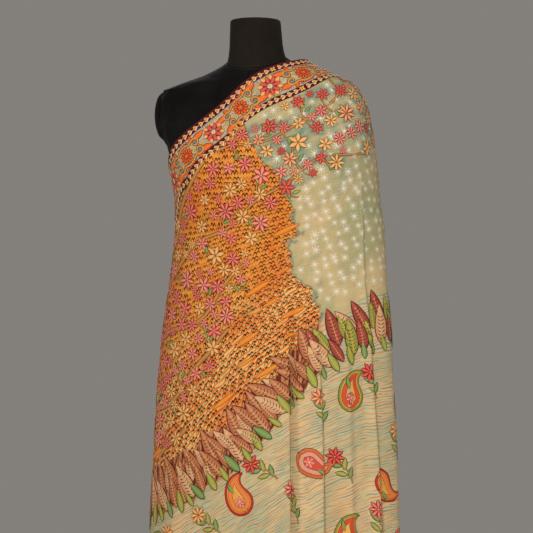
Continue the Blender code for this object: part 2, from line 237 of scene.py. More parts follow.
def fold_height(place, z):
    """Sum of all folds: each rises to its ridge over one spread and drops over the other."""
    total = 0.0 * place * z
    for centre, start, full, height, before, after in FOLDS:
        away = place - centre
        spread = np.where(away < 0, before, after)
        total = total + height * ease((start - z) / (start - full)) * np.exp(-((away / spread) ** 2))
    return total


def crease_height(place, z):
    """Soft drag lines: a bell across the line between two points, fading at both ends."""
    total = 0.0 * place * z
    metres = np.radians(1.0) * MEAN_RADIUS
    for place_a, z_a, place_b, z_b, rise, spread in CREASES:
        run = (place_b - place_a) * metres
        drop = z_b - z_a
        length = math.hypot(run, drop)
        x = (place - place_a) * metres
        y = z - z_a
        along = (x * run + y * drop) / length
        off = (y * run - x * drop) / length
        fade = ease(along / (0.35 * length)) * ease((length - along) / (0.35 * length))
        total = total + rise * fade * np.exp(-((off / spread) ** 2))
    return total


def cloth_point(place, z, folded=True):
    """Outer surface of the cloth at a place (degrees) and height: oval section, folds, creases and lap."""
    angle = np.radians(drifted(place, z))
    reach = oval_reach(angle, z)
    if folded:
        lap = LAP * ease((place - LAP_FROM) / (LAP_TO - LAP_FROM))
        reach = reach + fold_height(place, z) + crease_height(place, z) + lap
    return np.stack([reach * np.sin(angle), -reach * np.cos(angle), z + 0.0 * reach], -1)


def blurred(table, count):
    """Moving average over 2 * count + 1 neighbouring columns."""
    padded = np.pad(table, ((count + 1, count), (0, 0)), mode="edge")
    total = padded.cumsum(axis=0)
    return (total[2 * count + 1:] - total[:-2 * count - 1]) / (2 * count + 1)


def read(table, i, j):
    """Value between the four nearest entries of a table (bilinear)."""
    i, j = np.broadcast_arrays(np.asarray(i, float), np.asarray(j, float))
    i = np.clip(i, 0, table.shape[0] - 1.001)
    j = np.clip(j, 0, table.shape[1] - 1.001)
    i0 = i.astype(int)
    j0 = j.astype(int)
    u = i - i0
    v = j - j0
    near = table[i0, j0] * (1 - u) + table[i0 + 1, j0] * u
    far = table[i0, j0 + 1] * (1 - u) + table[i0 + 1, j0 + 1] * u
    return near * (1 - v) + far * v


def distance_run(points, axis=0):
    """Distance run along one axis of a path or grid of points, from 0."""
    step = np.linalg.norm(np.diff(points, axis=axis), axis=-1)
    return np.insert(step.cumsum(axis=axis), 0, 0.0, axis=axis)


class DrapedSheet:
    """Places and depths on the draped cloth: a depth is a share of the way down each column."""

    def __init__(self):
        self.places = np.arange(START_PLACE - 3, END_PLACE + 3 + PLACE_STEP / 2, PLACE_STEP)
        self.downs = np.arange(0.0, FULL_DOWN + DOWN_STEP / 2, DOWN_STEP)
        place = self.places[:, None]
        at, top, hem = (column(EDGES, EDGE_COLUMNS, name) for name in EDGE_COLUMNS)
        top = smooth_through(at, top, place)
        hem = smooth_through(at, hem, place)
        fine = top + (hem - top) * np.linspace(0.0, 1.0, HEIGHT_SAMPLES) ** 2
        length = distance_run(cloth_point(place, fine, folded=False), axis=1)
        self.scales = length[:, -1] / FULL_DOWN
        self.heights = np.array([
            np.interp(self.downs * run[-1] / FULL_DOWN, run, z) for run, z in zip(length, fine)
        ])
        flat = cloth_point(place, self.heights, folded=False)
        along = np.gradient(flat, axis=0)
        down = np.gradient(flat, axis=1)
        cosine = (along * down).sum(-1) / np.linalg.norm(along, axis=-1) / np.linalg.norm(down, axis=-1)
        self.leans = blurred(np.clip(np.arccos(cosine), *LEAN_LIMITS), LEAN_BLUR)
        run = distance_run(cloth_point(place, self.heights))
        self.runs = run - run[int(round(-self.places[0] / PLACE_STEP))]
        self.least_run = self.runs.min()
        grid = np.arange(self.least_run, self.runs.max(), RUN_STEP)
        self.places_of = np.array([np.interp(grid, line, self.places) for line in self.runs.T])

    def value(self, table, place, down):
        return read(table, (place - self.places[0]) / PLACE_STEP, down / DOWN_STEP)

    def height(self, place, down):
        return self.value(self.heights, place, down)

    def lean(self, place, down):
        """Angle between the grain and the column that runs down."""
        return self.value(self.leans, place, down)

    def run(self, place, down):
        """Distance along the grain from place 0, folds and all."""
        return self.value(self.runs, place, down)

    def place_at(self, run, down):
        return read(self.places_of, down / DOWN_STEP, (run - self.least_run) / RUN_STEP)

    def scale(self, place):
        """Metres down a column for one unit of depth."""
        return np.interp(place, self.places, self.scales)

    def moved(self, place, down, along, across):
        """The place and depth reached by going along the grain and then across it, downwards."""
        lean = self.lean(place, down)
        new_down = np.clip(down + across / np.sin(lean) / self.scale(place), 0.0, FULL_DOWN)
        run = self.run(place, new_down) + along - across / np.tan(lean)
        return self.place_at(run, new_down), new_down

    def reached(self, place, down, angle, length):
        """The place and depth reached by going that far at an angle from the grain."""
        return self.moved(place, down, length * np.cos(angle), length * np.sin(angle))

    def margins(self, place, down):
        """Distance to the top edge, the hem, and the start and end of the cloth."""
        run = self.run(place, down)
        high = self.scale(place) * np.sin(self.lean(place, down))
        from_start = (run - self.run(START_PLACE, down)) * np.sin(self.lean(START_PLACE, down))
        to_end = (self.run(END_PLACE, down) - run) * np.sin(self.lean(END_PLACE, down))
        return down * high, (FULL_DOWN - down) * high, from_start, to_end

    def spot(self, place, down):
        """Point on the cloth."""
        return cloth_point(place, self.height(place, down))

    def raised(self, place, down, lift):
        """Point raised from the cloth along its normal, and that normal: one nudge crossed with the other."""
        z = self.height(place, down)
        across = cloth_point(place + PLACE_NUDGE, z) - cloth_point(place - PLACE_NUDGE, z)
        up = cloth_point(place, z + HEIGHT_NUDGE) - cloth_point(place, z - HEIGHT_NUDGE)
        normal = np.cross(across, up)
        normal /= np.linalg.norm(normal, axis=-1, keepdims=True)
        return cloth_point(place, z) + lift[..., None] * normal, normal


@functools.lru_cache(maxsize=1)
def draped_sheet():
    return DrapedSheet()


# ---------------------------------------------------------------- colours

OUTLINE, BODY, LIGHT, HEART = range(4)


def tone(red, green, blue):
    """Linear colour of an everyday 0 to 255 colour."""
    value = np.array([red, green, blue]) / 255.0
    return np.where(value <= 0.04045, value / 12.92, ((value + 0.055) / 1.055) ** 2.4)


def threads(outline, body, light, heart):
    """Palette of four thread colours."""
    return np.array([tone(*outline), tone(*body), tone(*light), tone(*heart)])


CORAL = threads((96, 22, 16), (226, 74, 58), (254, 168, 150), (252, 206, 160))
ROSE = threads((100, 22, 22), (232, 94, 78), (255, 188, 164), (252, 214, 170))
SALMON = threads((104, 36, 18), (238, 132, 84), (254, 200, 152), (214, 84, 50))
PEACH = threads((106, 44, 16), (240, 162, 84), (254, 212, 144), (222, 96, 50))
MARIGOLD = threads((124, 26, 12), (236, 66, 24), (252, 128, 48), (252, 178, 70))
FLAME = threads((52, 54, 78), (240, 90, 28), (253, 146, 54), (252, 186, 80))
OCHRE = threads((60, 34, 20), (208, 130, 48), (240, 182, 92), (190, 208, 222))
STEM = threads((78, 42, 22), (182, 120, 56), (214, 160, 90), (214, 160, 90))
GOLDEN = threads((110, 60, 24), (232, 170, 70), (250, 212, 130), (180, 70, 40))
CREAM = threads((110, 24, 22), (244, 218, 164), (250, 232, 190), (234, 146, 62))
WHITE = threads((240, 232, 208), (240, 232, 208), (244, 238, 218), (240, 232, 208))
OLIVE = threads((52, 60, 26), (150, 152, 62), (200, 196, 96), (214, 202, 110))
GREEN = threads((34, 60, 40), (104, 140, 74), (164, 184, 106), (196, 200, 120))
RUST = threads((84, 28, 16), (186, 98, 60), (230, 166, 122), (240, 190, 130))
MAROON = threads((62, 14, 16), (152, 50, 46), (212, 116, 92), (240, 190, 130))

TAN = threads((92, 38, 20), (220, 156, 112), (244, 204, 160), (240, 190, 130))
EYE = threads((36, 34, 36), (120, 148, 170), (190, 206, 214), (118, 150, 176))
RED = threads((86, 12, 14), (212, 48, 44), (242, 122, 100), (250, 190, 120))
DOT = threads((214, 150, 60), (230, 170, 70), (240, 184, 84), (240, 184, 84))
EMBER = threads((168, 70, 24), (240, 132, 34), (250, 166, 62), (250, 166, 62))
CONE_THREADS = np.array([
    threads((76, 16, 14), (204, 52, 36), (244, 140, 64), (246, 176, 84)),
    threads((90, 28, 18), (226, 118, 52), (236, 164, 138), (226, 84, 62)),
    threads((40, 48, 26), (150, 148, 58), (222, 84, 50), (250, 186, 92)),
    threads((90, 20, 30), (222, 96, 92), (242, 186, 110), (176, 36, 44)),
])
BLOSSOM_THREADS = np.array([CORAL, PEACH, ROSE, RED, PEACH, SALMON, ROSE, RED])

# ---------------------------------------------------------------- flat stitched shapes

Shape = namedtuple("Shape", "x y lift mix faces")


def grid_faces(rows, columns):
    """Two triangles for each cell of a grid."""
    index = np.arange(rows * columns).reshape(rows, columns)
    a, b, c, d = index[:-1, :-1], index[1:, :-1], index[1:, 1:], index[:-1, 1:]
    quads = np.stack([a, b, c, d], -1).reshape(-1, 4)
    return np.vstack([quads[:, [0, 1, 2]], quads[:, [0, 2, 3]]])


def together(*shapes):
    """One shape from several."""
    *values, faces = zip(*shapes)
    first = np.cumsum([0] + [len(x) for x in values[0]])
    return Shape(*map(np.concatenate, values), np.vstack([rows + k for rows, k in zip(faces, first)]))


def placed(shape, turn=0.0, x=0.0, y=0.0, size=1.0, raised=0.0):
    """A shape turned by degrees, then shifted."""
    c, s = math.cos(math.radians(turn)), math.sin(math.radians(turn))
    px, py = shape.x * size, shape.y * size
    return Shape(px * c - py * s + x, px * s + py * c + y, shape.lift + raised, shape.mix, shape.faces)


def strip(path, halves, lifts, mixes):
    """Profile carried along a plane path: each column lies at its own distance to the side of the path."""
    step = np.gradient(path, axis=0)
    step /= np.linalg.norm(step, axis=1, keepdims=True)
    side = np.stack([-step[:, 1], step[:, 0]], -1)
    spots = path[:, None] + halves[:, :, None] * side[:, None]
    rows, columns = halves.shape
    lift = np.broadcast_to(lifts, (rows, columns)).reshape(-1)
    mix = np.broadcast_to(mixes, (rows, columns, 4)).reshape(-1, 4)
    return Shape(spots[..., 0].reshape(-1), spots[..., 1].reshape(-1), lift, mix, grid_faces(rows, columns))


PURE = np.eye(4)                # row of shares of the four threads, for each thread alone
EDGE_MIX = PURE[OUTLINE]
SIDE_MIX = PURE[BODY]
RIDGE_MIX = 0.25 * PURE[BODY] + 0.75 * PURE[LIGHT]
PETAL_MIXES = np.array([EDGE_MIX, EDGE_MIX, SIDE_MIX, RIDGE_MIX, SIDE_MIX, EDGE_MIX, EDGE_MIX])
PETAL_LIFTS = np.array([0.00022, 0.00034, 0.00046, 0.00074, 0.00046, 0.00034, 0.00022])
CROWN_SHARE = 0.94


def rimmed(half, rim):
    """The seven columns of an outlined strip: rim, edge and crown on both sides of its middle."""
    crown = CROWN_SHARE * half
    return np.stack([-half - rim, -half, -crown, 0.0 * half, crown, half, half + rim], -1)


def outlined(path, half, rim):
    """Filled strip with a dark rim: light along its middle and crowned."""
    return strip(path, rimmed(half, rim), PETAL_LIFTS, PETAL_MIXES)


def blade(length, width, root=0.0, belly=0.55, rim=0.0011, rows=5, sharp=0.85, bow=0.0):
    """Petal or leaf along +x: its half width is a power of a sine whose top lies at belly."""
    t = np.linspace(0.0, 1.0, rows + 1)
    half = width / 2 * np.sin(np.pi * np.clip(t ** (math.log(0.5) / math.log(belly)), 0, 1)) ** sharp
    reach = root + length * t
    reach[-1] += rim
    path = np.stack([reach, bow * np.sin(np.pi * t)], -1)
    return outlined(path, half, rim * np.where(t == 1.0, 0.2, 1.0))


def ringed(x, y, rings):
    """Closed outline filled with rings round its centre: each has its share of the outline, lift and mix."""
    sides = len(x)
    first = 1 + np.arange(sides)
    ahead = 1 + (np.arange(sides) + 1) % sides
    faces = [np.stack([0 * first, first, ahead], -1)]
    for k in range(0, sides * (len(rings) - 2), sides):
        faces.append(np.stack([first + k, first + k + sides, ahead + k + sides], -1))
        faces.append(np.stack([first + k, ahead + k + sides, ahead + k], -1))
    shares, lifts, mixes = zip(*rings)
    count = [1] + [sides] * (len(rings) - 1)
    px, py = (np.concatenate([line[:n] * share for n, share in zip(count, shares)]) for line in (x, y))
    return Shape(px, py, np.repeat(lifts, count), np.repeat(mixes, count, axis=0), np.vstack(faces))


def disc(radius, sides=10, lift=0.0009, middle_mix=PURE[HEART], fill=0.7):
    """Small round button: a middle, an inner ring and a rim."""
    angle = np.linspace(0, 2 * np.pi, sides, endpoint=False)
    rings = ((0.0, lift + 0.0002, middle_mix), (fill, lift, middle_mix), (1.0, lift - 0.0003, EDGE_MIX))
    return ringed(radius * np.cos(angle), radius * np.sin(angle), rings)


def ring_of(petal, count, start=0.0):
    """The same petal repeated round a centre."""
    return together(*(placed(petal, start + 360.0 * k / count) for k in range(count)))


def mirrored(shape, ways=((1, 1), (-1, 1), (1, -1), (-1, -1))):
    """The shape and its mirror images about the axes."""
    return together(*(shape._replace(x=shape.x * x, y=shape.y * y) for x, y in ways))


def blossom(petals, reach, width, belly, button, rows=5, sharp=0.85):
    """Open flower with equal petals and a button."""
    petal = blade(reach, width, root=0.0008, belly=belly, rows=rows, sharp=sharp)
    parts = [placed(petal, 360.0 * k / petals, raised=0.00004 * (k % 2)) for k in range(petals)]
    return together(*parts, disc(button))


def corner_cut(path):
    """The path with each corner cut once, its ends kept."""
    path = np.asarray(path, float)
    cut = np.stack([0.75 * path[:-1] + 0.25 * path[1:], 0.25 * path[:-1] + 0.75 * path[1:]], 1).reshape(-1, 2)
    return np.vstack([path[:1], cut[1:-1], path[-1:]])


def heart(size):
    """Chain heart: a polar outline with its point along +x, in three rings."""
    angle = np.linspace(0, 2 * np.pi, 12, endpoint=False)
    wide = 16 * np.sin(angle) ** 3
    tall = 13 * np.cos(angle) - 5 * np.cos(2 * angle) - 2 * np.cos(3 * angle) - np.cos(4 * angle)
    rings = (
        (0.0, 0.0012, PURE[HEART]),
        (0.58, 0.0010, PURE[HEART]),
        (0.70, 0.0009, PURE[BODY]),
        (1.0, 0.0004, PURE[BODY]),
    )
    return ringed(-tall / 30 * size, wide / 30 * size, rings)


def spoke(length, width, layer=LIGHT):
    """One plain stitch: a thin lens."""
    path = length / 2 * np.array([[-1.0, 0.0], [0.0, 0.0], [1.0, 0.0]])
    half = np.array([0.6, 1.0, 0.6]) * width / 2
    return strip(path, np.stack([-half, half], -1), np.full(2, 0.0004), np.tile(PURE[layer], (2, 1)))


COMMA_RINGS = (
    # inset, thread and lift of each ring of a cone-shaped motif, from its rim inwards
    (-0.0011, OUTLINE, 0.00025),
    (0.0000, OUTLINE, 0.00035),
    (0.0002, BODY, 0.00050),
    (0.0046, BODY, 0.00062),
    (0.0048, HEART, 0.00064),
    (0.0060, HEART, 0.00066),
    (0.0062, OUTLINE, 0.00066),
    (0.0068, OUTLINE, 0.00066),
    (0.0070, LIGHT, 0.00070),
    (0.0150, LIGHT, 0.00086),
    (0.0152, OUTLINE, 0.00086),
    (0.0158, OUTLINE, 0.00086),
    (0.0160, HEART, 0.00090),
)


def comma(height, radius, hook=118.0):
    """Cone motif: rings inside a round belly that tapers along a path hooking over at its tip."""
    insets, layers, lifts = (np.array(values) for values in zip(*COMMA_RINGS))
    rim = -insets[0]
    turn = np.linspace(0.0, np.pi / 2, 13)
    along = np.concatenate([radius - (radius + rim) * np.cos(turn), np.linspace(radius, height, 20)[1:]])
    t = np.clip(along / height, 0.0, 1.0)
    heading = np.radians(-90.0 + hook * t ** 2.4)
    middle = (heading[1:] + heading[:-1]) / 2
    step = np.diff(along)[:, None] * np.stack([np.cos(middle), np.sin(middle)], -1)
    path = np.vstack([[0.0, 0.0], np.cumsum(step, axis=0)])
    path[:, 1] += rim
    taper = np.cos(np.pi / 2 * np.clip((along - radius) / (height - radius), 0, 1) ** 0.85)
    along = along[:, None]
    belly = np.sqrt(np.clip((radius - insets) ** 2 - (radius - along) ** 2, 0, None))
    halves = np.where(along < radius, belly, np.clip((taper * radius)[:, None] - insets, 0, None))
    mixes = PURE[np.append(layers, layers[::-1])]
    return strip(path, np.hstack([-halves, halves[:, ::-1]]), np.append(lifts, lifts[::-1]), mixes)


TRAIL_RIM = 0.0008
LEAST_AREA = 1e-11


def facing(points, faces):
    """Direction of each face, as long as twice its area."""
    first = points[faces[:, 0]]
    return np.cross(points[faces[:, 1]] - first, points[faces[:, -1]] - first)


class Stitchwork:
    """Collects stitched shapes on the cloth and turns them into one mesh."""

    def __init__(self):
        self.sheet = draped_sheet()
        self.parts = []
        self.count = 0

    def keep(self, place, down, lift, colour, local, faces):
        rows = [values.reshape(-1) for values in (place, down, np.broadcast_to(lift, place.shape))]
        faces = faces.reshape(-1, 3) + self.count
        self.parts.append((*rows, colour.reshape(-1, 3), local.reshape(-1, 2), faces))
        self.count += place.size

    def stamp(self, shape, place, down, turn, palette, size=1.0, flip=1.0, raised=0.0):
        """Lays the shape at each place and depth, turned from the grain by an angle in radians."""
        place, down, turn, size, flip = (
            np.asarray(values, float)[:, None]
            for values in np.broadcast_arrays(place, down, turn, size, flip)
        )
        x = shape.x * size
        y = shape.y * size * flip
        along = x * np.cos(turn) - y * np.sin(turn)
        across = x * np.sin(turn) + y * np.cos(turn)
        spot = self.sheet.moved(place, down, along, across)
        colour = np.einsum("nl,mlc->mnc", shape.mix, np.broadcast_to(palette, (len(place), 4, 3)))
        first = np.arange(len(place))[:, None, None] * len(shape.x)
        self.keep(*spot, shape.lift + raised, colour, np.stack([x, y], -1), shape.faces + first)

    def trail(self, place, down, turn, half, palette, allowed):
        """An outlined strip along a path on the cloth, without the stretches that aren't allowed."""
        offsets = rimmed(half, TRAIL_RIM)
        along = -offsets * np.sin(turn)[:, None]
        across = offsets * np.cos(turn)[:, None]
        spot = self.sheet.moved(place[:, None], down[:, None], along, across)
        colour = np.broadcast_to(PETAL_MIXES @ palette, offsets.shape + (3,))
        run = distance_run(self.sheet.spot(place, down))
        local = np.stack(np.broadcast_arrays(run[:, None], offsets), -1)
        faces = grid_faces(*offsets.shape)
        faces = faces[allowed[faces // offsets.shape[1]].all(axis=1)]
        self.keep(*spot, PETAL_LIFTS, colour, local, faces)

    def build(self, name, look):
        """The piece, without the faces that fold to nothing."""
        place, down, lift, colour, local, faces = map(np.concatenate, zip(*self.parts))
        points, normal = self.sheet.raised(place, down, lift)
        faces = faces[np.linalg.norm(facing(points, faces), axis=1) > LEAST_AREA]
        return stitched_piece(name, points, faces, normal[faces[:, 0]], colour, local, look)


def new_mesh(name, points, faces):
    """Object with that mesh, linked at the origin."""
    mesh = bpy.data.meshes.new(name)
    corners = faces.shape[1]
    mesh.vertices.add(len(points))
    mesh.vertices.foreach_set("co", np.asarray(points, np.float32).reshape(-1))
    mesh.loops.add(faces.size)
    mesh.loops.foreach_set("vertex_index", faces.reshape(-1).astype(np.int32))
    mesh.polygons.add(len(faces))
    mesh.polygons.foreach_set("loop_start", np.arange(0, faces.size, corners, dtype=np.int32))
    mesh.polygons.foreach_set("loop_total", np.full(len(faces), corners, np.int32))
    mesh.update(calc_edges=True)
    made = bpy.data.objects.new(name, mesh)
    bpy.context.scene.collection.objects.link(made)
    return made


def store_uv(made, name, values):
    layer = made.data.uv_layers.new(name=name)
    layer.data.foreach_set("uv", np.asarray(values, np.float32).reshape(-1))


def settle(made, look):
    """Smooths a piece and gives it its material, slot and body."""
    made.data.polygons.foreach_set("use_smooth", np.ones(len(made.data.polygons), bool))
    made.data.materials.append(look)
    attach(made, "root")
    return made


def stitched_piece(name, points, faces, outward, colour, local, look):
    """Piece with a thread colour and a stitch direction for every point, its faces turned outwards."""
    inward = (facing(points, faces) * outward).sum(-1) < 0
    faces = np.where(inward[:, None], faces[:, ::-1], faces)
    made = new_mesh(name, points, faces)
    paint = made.data.color_attributes.new("thread", "FLOAT_COLOR", "POINT")
    paint.data.foreach_set("color", np.insert(colour, 3, 1.0, axis=1).astype(np.float32).reshape(-1))
    store_uv(made, "stitch", local[faces.reshape(-1)])
    return settle(made, look)


# ---------------------------------------------------------------- paths on the cloth

SIDES = ("top", "end", "hem", "start")
EDGE_STEP = 0.5
ROW_STEP = 0.75


def edge_path(side, inset):
    """Places and depths of a line at that distance inside one edge; the cloth's middle is to its right."""
    sheet = draped_sheet()
    if side in ("top", "hem"):
        place = np.arange(START_PLACE + EDGE_STEP, END_PLACE - 0.49, EDGE_STEP)
        edge = inset if side == "top" else FULL_DOWN - inset
        drop = inset / np.sin(sheet.lean(place, edge)) / sheet.scale(place)
        return (place, drop) if side == "top" else (place[::-1], FULL_DOWN - drop[::-1])
    down = np.arange(DOWN_STEP, FULL_DOWN - 0.003, DOWN_STEP)
    end = START_PLACE if side == "start" else END_PLACE
    shift = inset / np.sin(sheet.lean(end, down))
    place = sheet.place_at(sheet.run(end, down) + (shift if side == "start" else -shift), down)
    return (place[::-1], down[::-1]) if side == "start" else (place, down)


def headings(place, down):
    """Angle from the grain of the way along a path."""
    sheet = draped_sheet()
    lean = sheet.lean(place, down)[:-1]
    drop = np.diff(down) * sheet.scale(place[:-1])
    along = sheet.run(place[1:], down[:-1]) - sheet.run(place[:-1], down[:-1]) + drop * np.cos(lean)
    turn = np.unwrap(np.arctan2(drop * np.sin(lean), along))
    return np.concatenate([turn, turn[-1:]])


def stations(place, down, spacing, offset=0.0):
    """Points at even spacing along a path, with the heading at each."""
    run = distance_run(draped_sheet().spot(place, down))
    at = np.arange(offset, run[-1], spacing)
    return [np.interp(at, run, values) for values in (place, down, headings(place, down))]


def inside(place, down, inset, side=None):
    """True where a point is at least that far inside every edge but the named one."""
    kept = np.ones(np.shape(place), bool)
    for name, margin in zip(("top", "hem", "start", "end"), draped_sheet().margins(place, down)):
        if name != side:
            kept &= margin > inset
    return kept


def pick(kept, *rows):
    """The entries of each row where kept is true."""
    return [row[kept] for row in rows]


def edge_stations(side, inset, spacing, offset, clear):
    """Stations along a line inside one edge, where they lie clear of the other edges."""
    spots = stations(*edge_path(side, inset), spacing, offset)
    return pick(inside(*spots[:2], clear, side), *spots)


def row_path(depth):
    """Places and depths of the row at that depth."""
    place = np.arange(START_PLACE + 1.0, END_PLACE - 0.9, ROW_STEP)
    return place, np.full(len(place), depth)


def vine_path(depth, swing, wave, phase):
    """A line along the grain at that depth that swings to both sides, with a faster swing laid over it."""
    place, down = row_path(depth)
    run = draped_sheet().run(place, down)
    slow = np.sin(2 * np.pi * run / wave + phase)
    fast = np.sin(2 * np.pi * run / (0.43 * wave) + 2 * phase)
    return draped_sheet().moved(place, down, 0.0 * place, swing * slow + 0.3 * swing * fast)


# Depth below which the vine field gives way, by place, and depth at which the warm ground ends.
FIELD_COLUMNS = ("place", "bloom", "low")
FIELD_EDGES = (
    (-200.0, 0.40, 0.600),
    (-95.0, 0.50, 0.620),
    (-60.0, 0.60, 0.630),
    (-25.0, 0.53, 0.640),
    (5.0, 0.37, 0.635),
    (33.0, 0.27, 0.600),
    (48.0, 0.25, 0.560),
    (99.0, 0.25, 0.540),
    (140.0, 0.30, 0.560),
    (225.0, 0.40, 0.580),
)


def field_edge(name, place):
    """Depth of one of the field's edges at a place."""
    at, depth = (column(FIELD_EDGES, FIELD_COLUMNS, title) for title in ("place", name))
    return smooth_through(at, depth, place)


GARDEN_SEED = 7
FIELD_DEPTH = 0.60
PETAL_LAP = 0.0022              # how far the rims of two blossoms may lie over each other


def blossom_rounds(plan):
    """Centre and reach of each blossom of a plan."""
    size = bpy.context.scene.shawl_pattern.blossom_size
    return draped_sheet().spot(plan[:, 0], plan[:, 1]), 0.5 * size * plan[:, 3]


def side_stems(path, index, pattern, rng):
    """Side stems of one vine, long ones by turns on each side and short ones opposite, and their tips."""
    place, down, turn = stations(*path, pattern.stem_spacing, 0.02 + 0.026 * (index % 2))
    side = np.where(np.arange(len(place)) % 2 == 0, 1.0, -1.0)
    kept = inside(place, down, pattern.border_width + 0.010) & (down < field_edge("bloom", place) - 0.02)
    place, down, turn, side = pick(kept, place, down, turn, side)
    stems, tips = [], []
    for far, reach, low, high in ((side, 0.042, 0.86, 1.04), (-side, 0.026, 0.66, 0.80)):
        angle = turn + far * np.radians(58.0 + rng.uniform(-9, 9, len(place)))
        length = reach * rng.uniform(0.9, 1.1, len(place))
        tip = draped_sheet().reached(place, down, angle, length)
        stems.append((place, down, angle, length, far))
        tips.append(np.stack([*tip, angle, rng.uniform(low, high, len(place))], -1))
    return stems, tips


def lattice(low, high, first, pattern, rng):
    """Rows of a jittered lattice of blossoms whose sizes lie between low and high."""
    step = pattern.blossom_step
    rows = []
    for row, depth in enumerate(np.arange(pattern.border_width + first * step, 0.64, 0.84 * step)):
        place, down, turn = stations(*row_path(depth), step, (first + 0.5 * (row % 2)) * step)
        spot = draped_sheet().moved(place, down, *rng.uniform(-0.14 * step, 0.14 * step, (2, len(place))))
        size = rng.uniform(low, high, len(place))
        rows.append(np.stack([*spot, turn + rng.uniform(0, 1.0, len(place)), size], -1))
    return rows


def with_room(wanted):
    """The blossoms that find room beside those chosen before them."""
    spots, reach = blossom_rounds(wanted)
    chosen = []
    for k in range(len(wanted)):
        gap = np.linalg.norm(spots[chosen] - spots[k], axis=1) - reach[chosen] - reach[k]
        if not len(gap) or gap.min() > -PETAL_LAP:
            chosen.append(k)
    return wanted[chosen]


@functools.lru_cache(maxsize=1)
def garden_plan():
    """Vines, side stems and blossoms: first at the stems' tips, then wherever a jittered lattice finds room.

    A blossom is a row of its place, depth, turn, size, thread palette and kind.
    """
    pattern = bpy.context.scene.shawl_pattern
    rng = np.random.default_rng(GARDEN_SEED)
    vine_lines, stems, wanted = [], [], []
    for index in range(int((FIELD_DEPTH - pattern.border_width) / pattern.vine_spacing) + 1):
        depth = pattern.border_width + 0.050 + index * pattern.vine_spacing
        vine_lines.append(vine_path(depth, 0.017, 0.36, 1.7 * index))
        more, tips = side_stems(vine_lines[-1], index, pattern, rng)
        stems += more
        wanted += tips
    for low, high, first in ((0.60, 0.92, 0.50), (0.46, 0.58, 0.42)):
        wanted += lattice(low, high, first, pattern, rng)
    wanted = np.vstack(wanted)
    place, down, _, size = wanted.T
    kept = inside(place, down, pattern.border_width + 0.46 * pattern.blossom_size * size)
    chosen = with_room(wanted[kept & (down < field_edge("bloom", place))])
    palette = rng.integers(0, 8, (len(chosen), 1))
    kind = rng.choice([0, 1, 1, 2, 2], (len(chosen), 1))
    return vine_lines, stems, np.hstack([chosen, palette, kind])


# ---------------------------------------------------------------- shader helpers


class Wire:
    """A value that a node puts out: sums, products and the like of wires add the nodes that work them out."""

    def __init__(self, net, socket):
        self.net = net
        self.socket = socket

    def maths(self, operation, *others):
        made = self.net.add("ShaderNodeMath", {"operation": operation})
        for socket, value in zip(made.inputs, (self, *others)):
            self.net.feed(socket, value)
        return Wire(self.net, made.outputs[0])

    __add__ = functools.partialmethod(maths, "ADD")
    __sub__ = functools.partialmethod(maths, "SUBTRACT")
    __mul__ = functools.partialmethod(maths, "MULTIPLY")
    __truediv__ = functools.partialmethod(maths, "DIVIDE")
    __lt__ = functools.partialmethod(maths, "LESS_THAN")
    __gt__ = functools.partialmethod(maths, "GREATER_THAN")
    __abs__ = functools.partialmethod(maths, "ABSOLUTE")
    floor = functools.partialmethod(maths, "FLOOR")
    fract = functools.partialmethod(maths, "FRACT")
    sine = functools.partialmethod(maths, "SINE")
    cosine = functools.partialmethod(maths, "COSINE")
    larger = functools.partialmethod(maths, "MAXIMUM")
    pingpong = functools.partialmethod(maths, "PINGPONG")

    def step(self, low, high):
        """0 at low, 1 at high, smooth between."""
        smooth = {"interpolation_type": "SMOOTHSTEP"}
        return self.net.take("ShaderNodeMapRange", "Result", smooth, Value=self, From_Min=low, From_Max=high)

    def between(self, low, high, soft):
        """1 between two values."""
        return self.step(low - soft, low + soft) * self.step(high + soft, high - soft)


